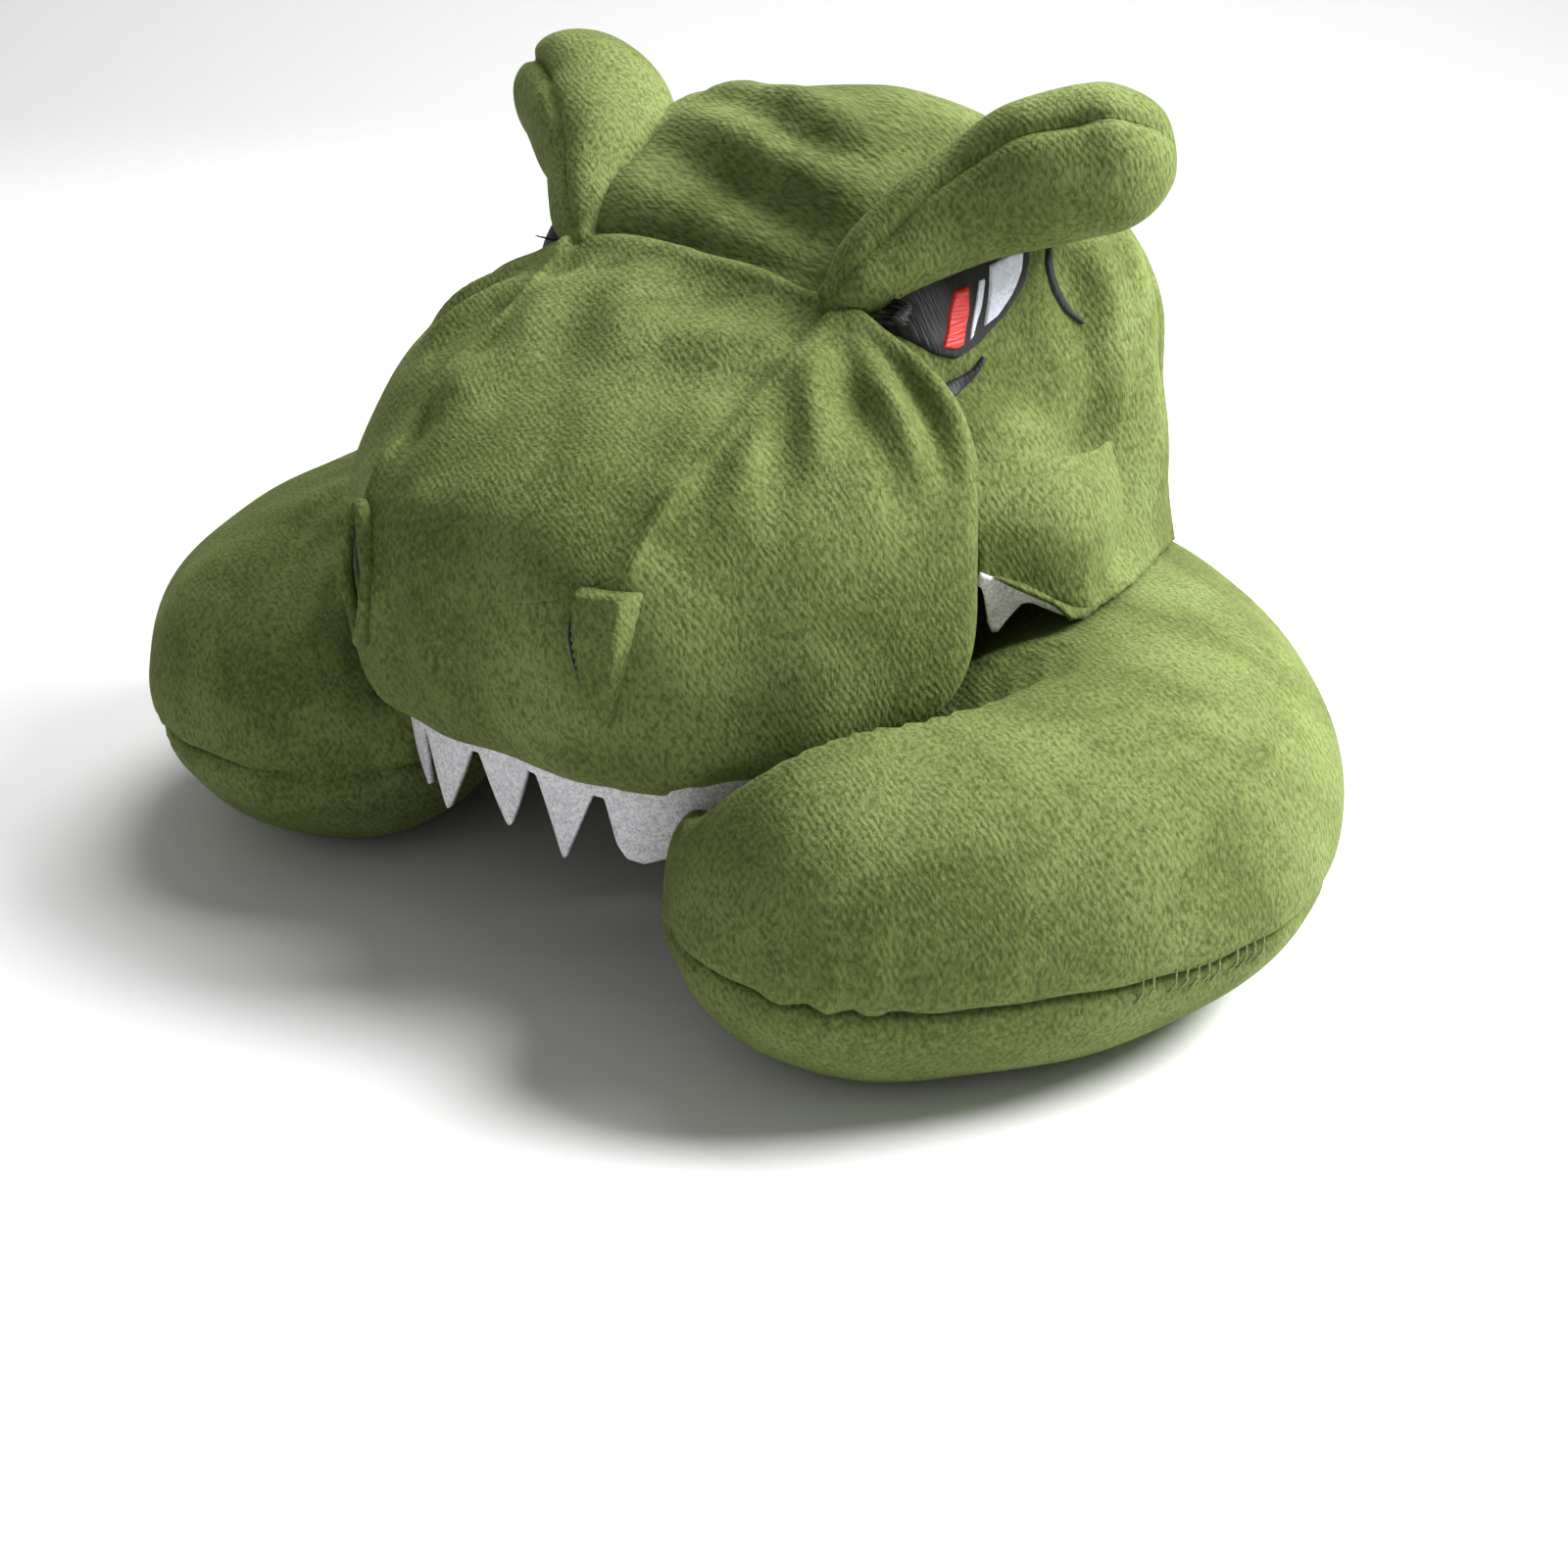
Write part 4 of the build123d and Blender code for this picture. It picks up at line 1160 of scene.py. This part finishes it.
class NECK_OT_hood(bpy.types.Operator):
    """Sews the hood from its crown, two sides and back, and lines it"""

    bl_idname = "neck_pillow.hood"
    bl_label = "Sew hood"

    def execute(self, context):
        cloth = cloths()
        grid, stations, (flank, over) = hood_skin()
        rows, columns = grid.shape[:2]
        number = np.arange(columns)[None].repeat(rows, 0)
        behind = (np.array(stations)[:, 0] >= HOOD_BACK_SEAM)[:, None].repeat(columns, 1)
        panels = (
            (
                "hood_crown_plush", ~behind & (number >= flank) & (number < flank + over), "hood_crown_panel",
                "crown", (0, 0, 1)
            ),
            ("hood_left_side_plush", ~behind & (number < flank), "hood_left_side_panel", "plush", (1, 0, 0)),
            (
                "hood_right_side_plush", ~behind & (number >= flank + over), "hood_right_side_panel", "plush",
                (-1, 0, 0)
            ),
            ("hood_back_plush", behind, "hood_back_panel", "plush", (0, 1, 0)),
        )
        for name, keep, node, finish, way in panels:
            made = grid_piece(name, grid, cloth[finish], keep=keep)
            face_out(made, way)
            solid(made, sizes().skin / MM)
            if node == "hood_back_panel":
                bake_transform(made)
            else:
                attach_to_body(made, "hood")
            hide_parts(node)
        inside, stations, _ = hood_skin(4.5, 70)
        columns = inside.shape[1]
        number = np.arange(columns)[None].repeat(len(inside), 0)
        reach = (np.array(stations)[:, 0] < 90)[:, None]
        for side, keep in ((1, number < columns // 2), (-1, number >= columns // 2)):
            made = grid_piece(f"hood_lining_{sided(side)}_cloth", inside, cloth["lining"], keep=keep & reach)
            face_out(made, (-side, 0, 0))
            solid(made, sizes().lining / MM)
            attach(made, "hood", "red_lining", f"hood_lining_{sided(side)}")
        return {"FINISHED"}


class NECK_OT_brows(bpy.types.Operator):
    """Stuffs the two brow rolls, each from an inner and an outer panel"""

    bl_idname = "neck_pillow.brows"
    bl_label = "Stuff brows"

    def execute(self, context):
        cloth = cloths()
        for side in (1, -1):
            grid = roll_skin(brow_form, side, lean=0.35)
            rows, columns = grid.shape[:2]
            number = np.arange(columns)[None].repeat(rows, 0)
            for label, keep in (("outer", number < columns // 2), ("inner", number >= columns // 2)):
                made = grid_piece(
                    f"{sided(side)}_brow_{label}_plush", grid, cloth["plush"], around=True, keep=keep
                )
                middle = Vector(grid.reshape(-1, 3).mean(0) * MM)
                pull = sum(((p.center - middle).dot(p.normal) * p.area for p in made.data.polygons))
                if pull < 0:
                    made.data.flip_normals()
                solid(made, sizes().skin / MM)
                nodes = (f"{sided(side)}_brow_{label}_panel", f"{sided(side)}_brow_filling")
                attach(made, "hood", "green_plush", *nodes)
        return {"FINISHED"}


eye_parts = [
    # name, outline in depth and height, lift, height, finish, slot, node
    (
        "eye_black",
        [
            (-20, 160.5), (-10, 165.5), (4, 170), (15, 172.5), (25, 174), (23, 168), (19, 162), (13, 155.5),
            (5, 150.5), (-4, 148.3), (-10, 150.5), (-16, 155.5)
        ],
        0.2, 1.0, "black", "black_thread", "eye_black_embroidery"
    ),
    (
        "eye_red",
        [
            (-4.8, 151.2), (-2.2, 151.6), (1.6, 158.5), (3.2, 164.8), (-0.8, 163.9), (-3.6, 160.2),
            (-5.8, 156.0), (-8.6, 152.2)
        ],
        1.0, 0.9, "red", "red_thread", "eye_red_embroidery"
    ),
    (
        "eye_stripe", [(0.6, 152.0), (2.0, 152.8), (5.6, 159.0), (8.2, 165.8), (6.6, 165.4), (4.0, 159.6)], 1.0,
        0.6, "white", "white_felt", "eye_white_stripe"
    ),
    (
        "eye_patch",
        [
            (6.0, 154.4), (10.0, 156.2), (14.6, 160.9), (18.8, 166.6), (20.4, 170.4), (16.6, 170.4),
            (10.2, 168.4), (8.0, 160.8)
        ],
        1.0, 0.9, "white", "white_felt", "eye_white_felt"
    ),
]


eye_lines = [
    # label, points in depth and height, half widths along them
    ("lower", [(-15, 142.5), (-8, 141.0), (0, 143.0), (5, 147.2)], (0.8, 1.5, 1.7, 1.2, 0.5)),
    (
        "rear", [(30.0, 170.5), (28.6, 166), (29.2, 160.5), (32.0, 155.0), (36.0, 150.5)],
        (0.5, 1.4, 1.6, 1.2, 0.5)
    ),
]


class NECK_OT_eyes(bpy.types.Operator):
    """Embroiders the eyes and their crease lines on the hood's sides"""

    bl_idname = "neck_pillow.eyes"
    bl_label = "Embroider eyes"

    def execute(self, context):
        cloth = cloths()
        for side in (1, -1):
            find = surface_of([f"hood_{sided(side)}_side_plush"], (-side, 0, 0))

            def lay(y, z, rise):
                return (side * (-find((0, y, z), -66.0) + rise), y, z)

            made = []
            for label, outline, lift, height, finish, slot, node in eye_parts:
                grid = patch_grid(outline, lay, lift, height)
                made.append(
                    (grid_piece(f"{sided(side)}_{label}", grid, cloth[finish], around=True), slot, node)
                )
            for label, line, half_widths in eye_lines:
                grid = ribbon_grid(line, half_widths, lay, 0.2, 0.9)
                piece = grid_piece(f"{sided(side)}_eye_{label}_line", grid, cloth["black"])
                made.append((piece, "black_thread", f"eye_{label}_crease"))
            for piece, slot, node in made:
                face_out(piece, (side, 0, 0))
                attach(piece, "hood", slot, f"{sided(side)}_{node}")
        return {"FINISHED"}


class NECK_OT_nostrils(bpy.types.Operator):
    """Folds the two nostrils: an open loop on the right and a flattened tab on the left"""

    bl_idname = "neck_pillow.nostrils"
    bl_label = "Fold nostrils"

    def execute(self, context):
        cloth = cloths()
        find = surface_of(
            ["snout_top_panel_plush", "snout_right_cheek_plush", "snout_left_cheek_plush"], (0, 1, 0)
        )

        def lay(x, z, rise):
            return (x, find((x, 0, z), -100.0) - rise, z)

        # the left one has fallen flat to a tab, cut square at its top and free along its outer edge
        edges = spaced(
            [
                (111.5, 35.2, 48.8), (106, 35.4, 49.0), (98, 36.4, 48.4), (90, 38.2, 46.8), (84, 40.2, 45.2),
                (78.5, 42.4, 43.6)
            ],
            60
        )
        grid = []
        for k, (z, a, b) in enumerate(edges):
            row = [lay(a, z, -0.8)]
            for t in np.linspace(0, 1, 41):
                round_off = min(1, t / 0.1, (1 - t) / 0.05) if 0 < t < 1 else 0
                rise = (3.6 + 2.2 * t) * round_off**0.5 * min(1, max(0.0, (z - 78.5) / 10)) ** 0.5
                rise += 0.5 * math.sin(9 * t + z / 6) * round_off
                row.append(lay(a + t * (b - a), z, rise if 0 < k else -0.8))
            row.append(lay(b, z, -0.8))
            grid.append(row)
        tab = grid_piece("left_nostril_fold", np.array(grid), cloth["plush"])
        # painted shade: a black strip beside the tab's inner edge stands in for the shade in its slit
        slit = ribbon_grid(
            [(34.7, 107), (34.9, 99), (36.2, 91), (37.6, 86)], (0.4, 1.0, 1.0, 0.4), lay, 0.1, 0.5
        )
        pocket = grid_piece("left_nostril_pocket", slit, cloth["pocket"])
        row = stitch_row(
            "left_nostril_stitches",
            [[lay(x, z, 1.6) for x, z in ((35.6, 106), (35.9, 99), (37.0, 92), (38.6, 86))]], 2.0, 1.2, 0.6,
            cloth["thread"]
        )
        made = [
            (tab, "left_nostril_tab", "green_plush"), (pocket, "left_nostril_lining", "black_thread"),
            (row, "left_nostril_tab", "green_thread")
        ]
        # the right one still stands open, a rolled rim round a dark pocket whose shade is painted as a black patch
        rim = []
        for t in np.linspace(0, 2 * math.pi, 97)[:-1]:
            out = math.copysign(abs(math.cos(t)) ** 1.25, math.cos(t))
            rim.append(lay(-39.6 - 5.2 * out - 1.4 * math.sin(t), 96.5 + 16.5 * math.sin(t), 2.2 + 1.5 * out))
        rim = np.array(rim)
        ahead = np.roll(rim, -1, 0) - np.roll(rim, 1, 0)
        ahead /= np.linalg.norm(ahead, axis=1, keepdims=True)
        proud = np.cross(ahead, [0.0, -1.0, 0.0])
        proud /= np.linalg.norm(proud, axis=1, keepdims=True)
        front = np.cross(proud, ahead)
        turns = np.linspace(0, 2 * math.pi, 24, endpoint=False)
        thick = 1.75 + 0.25 * np.sin(np.arange(96) / 5.0)
        loop = np.array(
            [rim + thick[:, None] * (proud * math.cos(a) + 1.25 * front * math.sin(a)) for a in turns]
        )
        loop = np.concatenate([loop, loop[:1]])
        fold_piece = grid_piece("right_nostril_fold", loop, cloth["plush"], around=True)
        outline = [
            (
                -39.6 - 3.9 * math.copysign(abs(math.cos(t)) ** 1.25, math.cos(t)) - 1.4 * math.sin(t),
                96.5 + 14.2 * math.sin(t)
            ) for t in np.linspace(0, 2 * math.pi, 49)[:-1]
        ]
        # painted shade: a black patch inside the rim stands in for the shade of the open pocket
        dark = grid_piece(
            "right_nostril_pocket", patch_grid(outline, lay, 0.6, 0.5, rings=6, count=96), cloth["pocket"],
            around=True
        )
        made += [
            (fold_piece, "right_nostril_tab", "green_plush"), (dark, "right_nostril_lining", "black_thread")
        ]
        for piece, node, slot in made:
            if piece not in (fold_piece, row):
                face_out(piece, (0, -1, 0))
            attach(piece, "snout", slot, node)
        pull = sum(
            (
                p.center - min((Vector(q * MM) for q in rim), key=lambda q: (q - p.center).length)
            ).dot(p.normal) for p in fold_piece.data.polygons
        )
        if pull < 0:
            fold_piece.data.flip_normals()
        return {"FINISHED"}


class NECK_OT_corners(bpy.types.Operator):
    """Sews the flaps at the mouth's corners, with their felt edge and small side teeth"""

    bl_idname = "neck_pillow.corners"
    bl_label = "Sew mouth corners"

    def execute(self, context):
        cloth = cloths()
        for side in (1, -1):
            top = spaced([(79, -18, 129), (85, -6, 128), (89.5, 8, 127), (90, 20, 125), (87, 32, 124)], 46)
            bottom = spaced(
                [
                    (86, -19, 103), (92, -10, 98.5), (101, 3, 91.5), (99.5, 12, 94), (96.5, 22, 99),
                    (92, 33, 106)
                ],
                46
            )
            grid = []
            for share in np.linspace(0, 1, 30):
                row = top + share * (bottom - top)
                row[:, 0] += 3.6 * math.sin(math.pi * share) * np.sin(np.linspace(0.25, math.pi, 46))
                grid.append(row)
            grid = np.array(grid)
            grid[..., 0] += 0.7 * drift(grid, 16, 91 + side)
            grid[..., 0] *= side
            flap = grid_piece(f"{sided(side)}_mouth_flap", grid, cloth["plush"])
            face_out(flap, (side, 0, 0))
            f"hood_{sided(side)}_side_plush"
            solid(flap, 1.6)
            rim = bottom[:30] * [side, 1, 1]
            edge = np.array(
                [rim + np.array([0, 0, 0.6]), rim + [-side * 0.3, 0, -0.8], rim + [-side * 0.9, 0, -2.6]]
            )
            felt_rows = list(edge)
            tooth = [(0, 0), (1.5, -2), (5, -11), (7, -13), (9.5, -6), (12, -1), (14, 0)]
            step = np.cumsum(np.concatenate([[0], np.linalg.norm(np.diff(rim, axis=0), axis=1)]))
            drop = np.interp(step - 1.0, [p[0] for p in tooth], [p[1] for p in tooth]) * 0.9
            for share in np.linspace(0.15, 1, 8):
                felt_rows.append(
                    edge[2] + np.stack([-side * 0.25 * share * -drop, np.zeros(len(rim)), share * drop], 1)
                )
            felt = grid_piece(f"{sided(side)}_corner_felt", np.array(felt_rows), cloth["felt"])
            face_out(felt, (side, 0, 0))
            solid(felt, sizes().felt / MM)
            for made, node, slot in (
                (flap, "mouth_corner_flap", "green_plush"), (felt, "side_teeth", "white_felt")
            ):
                attach(made, "hood", slot, f"{sided(side)}_{node}")
        return {"FINISHED"}


class NECK_OT_stitches(bpy.types.Operator):
    """Runs the ladder stitches that close the stuffing gap"""

    bl_idname = "neck_pillow.stitches"
    bl_label = "Run stitches"

    def execute(self, context):
        cloth = cloths()
        pitch = sizes().stitch_pitch / MM
        grid, _ = pillow_skin(1)
        seam = grid[:, 0]
        run = np.concatenate([[0], np.cumsum(np.linalg.norm(np.diff(seam, axis=0), axis=1))])
        start = 238.0  # along the seam from the middle of the back
        ladders = []
        for k in range(sizes().stitch_count):
            at = np.argmin(np.abs(run - start - k * pitch))
            a, b = grid[at, 2], grid[at, -2]
            centre, way = (a + b) / 2, b - a
            way = way / np.linalg.norm(way) * 3.0
            out = np.array([centre[0], centre[1], 0]) / np.hypot(*centre[:2]) * 1.0
            lean = np.array([0.5, -0.9, 0]) * (0.6 if k % 2 else -0.2)
            ladders.append([centre - way + lean, centre + out * 0.9, centre + way - lean])
        closing = stitch_row("closing_ladder_stitches", ladders, 1.0, 1.7, 0.6, cloth["thread"])
        attach(closing, "left_arm", "green_thread", "closing_stitches")
        return {"FINISHED"}


class NECK_OT_stage(bpy.types.Operator):
    """Sets a pale floor, a backdrop, soft lights and the camera"""

    bl_idname = "neck_pillow.stage"
    bl_label = "Set stage"

    def execute(self, context):
        pale, _, shader, _ = finish_of("matt_white_paper_sweep", 0.95)
        shader.inputs["Base Color"].default_value = (0.9, 0.9, 0.9, 1)
        lines = [(-1600, 0)] + [(900, 0)] + [
            (900 + 500 * math.sin(a), 500 - 500 * math.cos(a)) for a in np.linspace(0.1, math.pi / 2, 24)
        ] + [(1400, 2600)]
        turn = math.radians(41.0)
        rows = []
        for along, up in lines:
            rows.append(
                [
                    (-math.sin(turn) * along + math.cos(turn) * s, math.cos(turn) * along + math.sin(turn) * s, up - 0.05) for s in np.linspace(-3000, 3000, 3)
                ]
            )
        sweep = grid_piece("paper_sweep", np.array(rows), pale)
        face_out(sweep, (0, 0, 1))
        sweep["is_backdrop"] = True
        scene = context.scene
        world = bpy.data.worlds.new("studio_air")
        scene.world = world
        world.use_nodes = True
        world.node_tree.nodes["Background"].inputs[0].default_value = (1.0, 1.0, 1.0, 1)
        world.node_tree.nodes["Background"].inputs[1].default_value = 0.2

        def soft_box(name, place, size, power, aim=(0, 0, 80)):
            light = bpy.data.lights.new(name, "AREA")
            light.shape = "DISK"
            light.size = size
            light.energy = power
            lamp = bpy.data.objects.new(name, light)
            scene.collection.objects.link(lamp)
            lamp.location = Vector(place) * MM
            lamp.rotation_euler = (Vector(aim) * MM - lamp.location).to_track_quat("-Z", "Y").to_euler()

        soft_box("key_soft_box", (560, 400, 700), 0.5, 19.0)
        soft_box("top_soft_box", (-160, 420, 900), 0.7, 9.0)
        soft_box("fill_soft_box", (300, -900, 500), 0.9, 0.8)
        lens = bpy.data.cameras.new("studio_camera")
        lens.lens = 66.33
        lens.sensor_width = 36.0
        camera = bpy.data.objects.new("studio_camera", lens)
        scene.collection.objects.link(camera)
        camera.location = Vector((472.7, -534.7, 346.8)) * MM
        aim = Vector((-14.7, 25.9, 2.0)) * MM
        camera.rotation_euler = (aim - camera.location).to_track_quat("-Z", "Y").to_euler()
        scene.camera = camera
        # plain colours, as the cloth's swatches are given
        scene.view_settings.view_transform = "Standard"
        return {"FINISHED"}


steps = [
    NECK_OT_pillow, NECK_OT_snout, NECK_OT_mouth, NECK_OT_teeth, NECK_OT_hood, NECK_OT_brows, NECK_OT_eyes,
    NECK_OT_nostrils, NECK_OT_corners, NECK_OT_stitches, NECK_OT_stage
]


class NECK_PT_panel(bpy.types.Panel):
    """Lists the pillow's pieces and the sizes and colours behind them."""

    bl_idname = "NECK_PT_panel"
    bl_label = "Neck pillow"
    bl_space_type = "VIEW_3D"
    bl_region_type = "UI"
    bl_category = "Neck pillow"

    def draw(self, context):
        for settings in (context.scene.neck_pillow_sizes, context.scene.neck_pillow_colours):
            box = self.layout.box()
            for key in settings.__annotations__:
                box.prop(settings, key)
        for step in steps:
            self.layout.operator(step.bl_idname)


groups = (NeckPillowColours, NeckPillowSizes)


def register():
    for made in (*groups, *steps, NECK_PT_panel):
        bpy.utils.register_class(made)
    bpy.types.Scene.neck_pillow_colours = PointerProperty(type=NeckPillowColours)
    bpy.types.Scene.neck_pillow_sizes = PointerProperty(type=NeckPillowSizes)


def unregister():
    del bpy.types.Scene.neck_pillow_colours, bpy.types.Scene.neck_pillow_sizes
    for made in reversed((*groups, *steps, NECK_PT_panel)):
        bpy.utils.unregister_class(made)


def main():
    register()
    for step in steps:
        family, name = step.bl_idname.split(".")
        getattr(getattr(bpy.ops, family), name)()
    visual_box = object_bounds()
    plain = [[list(map(float, corner)) for corner in box] for box in (cad_box, visual_box)]


if __name__ == "__main__":
    main()
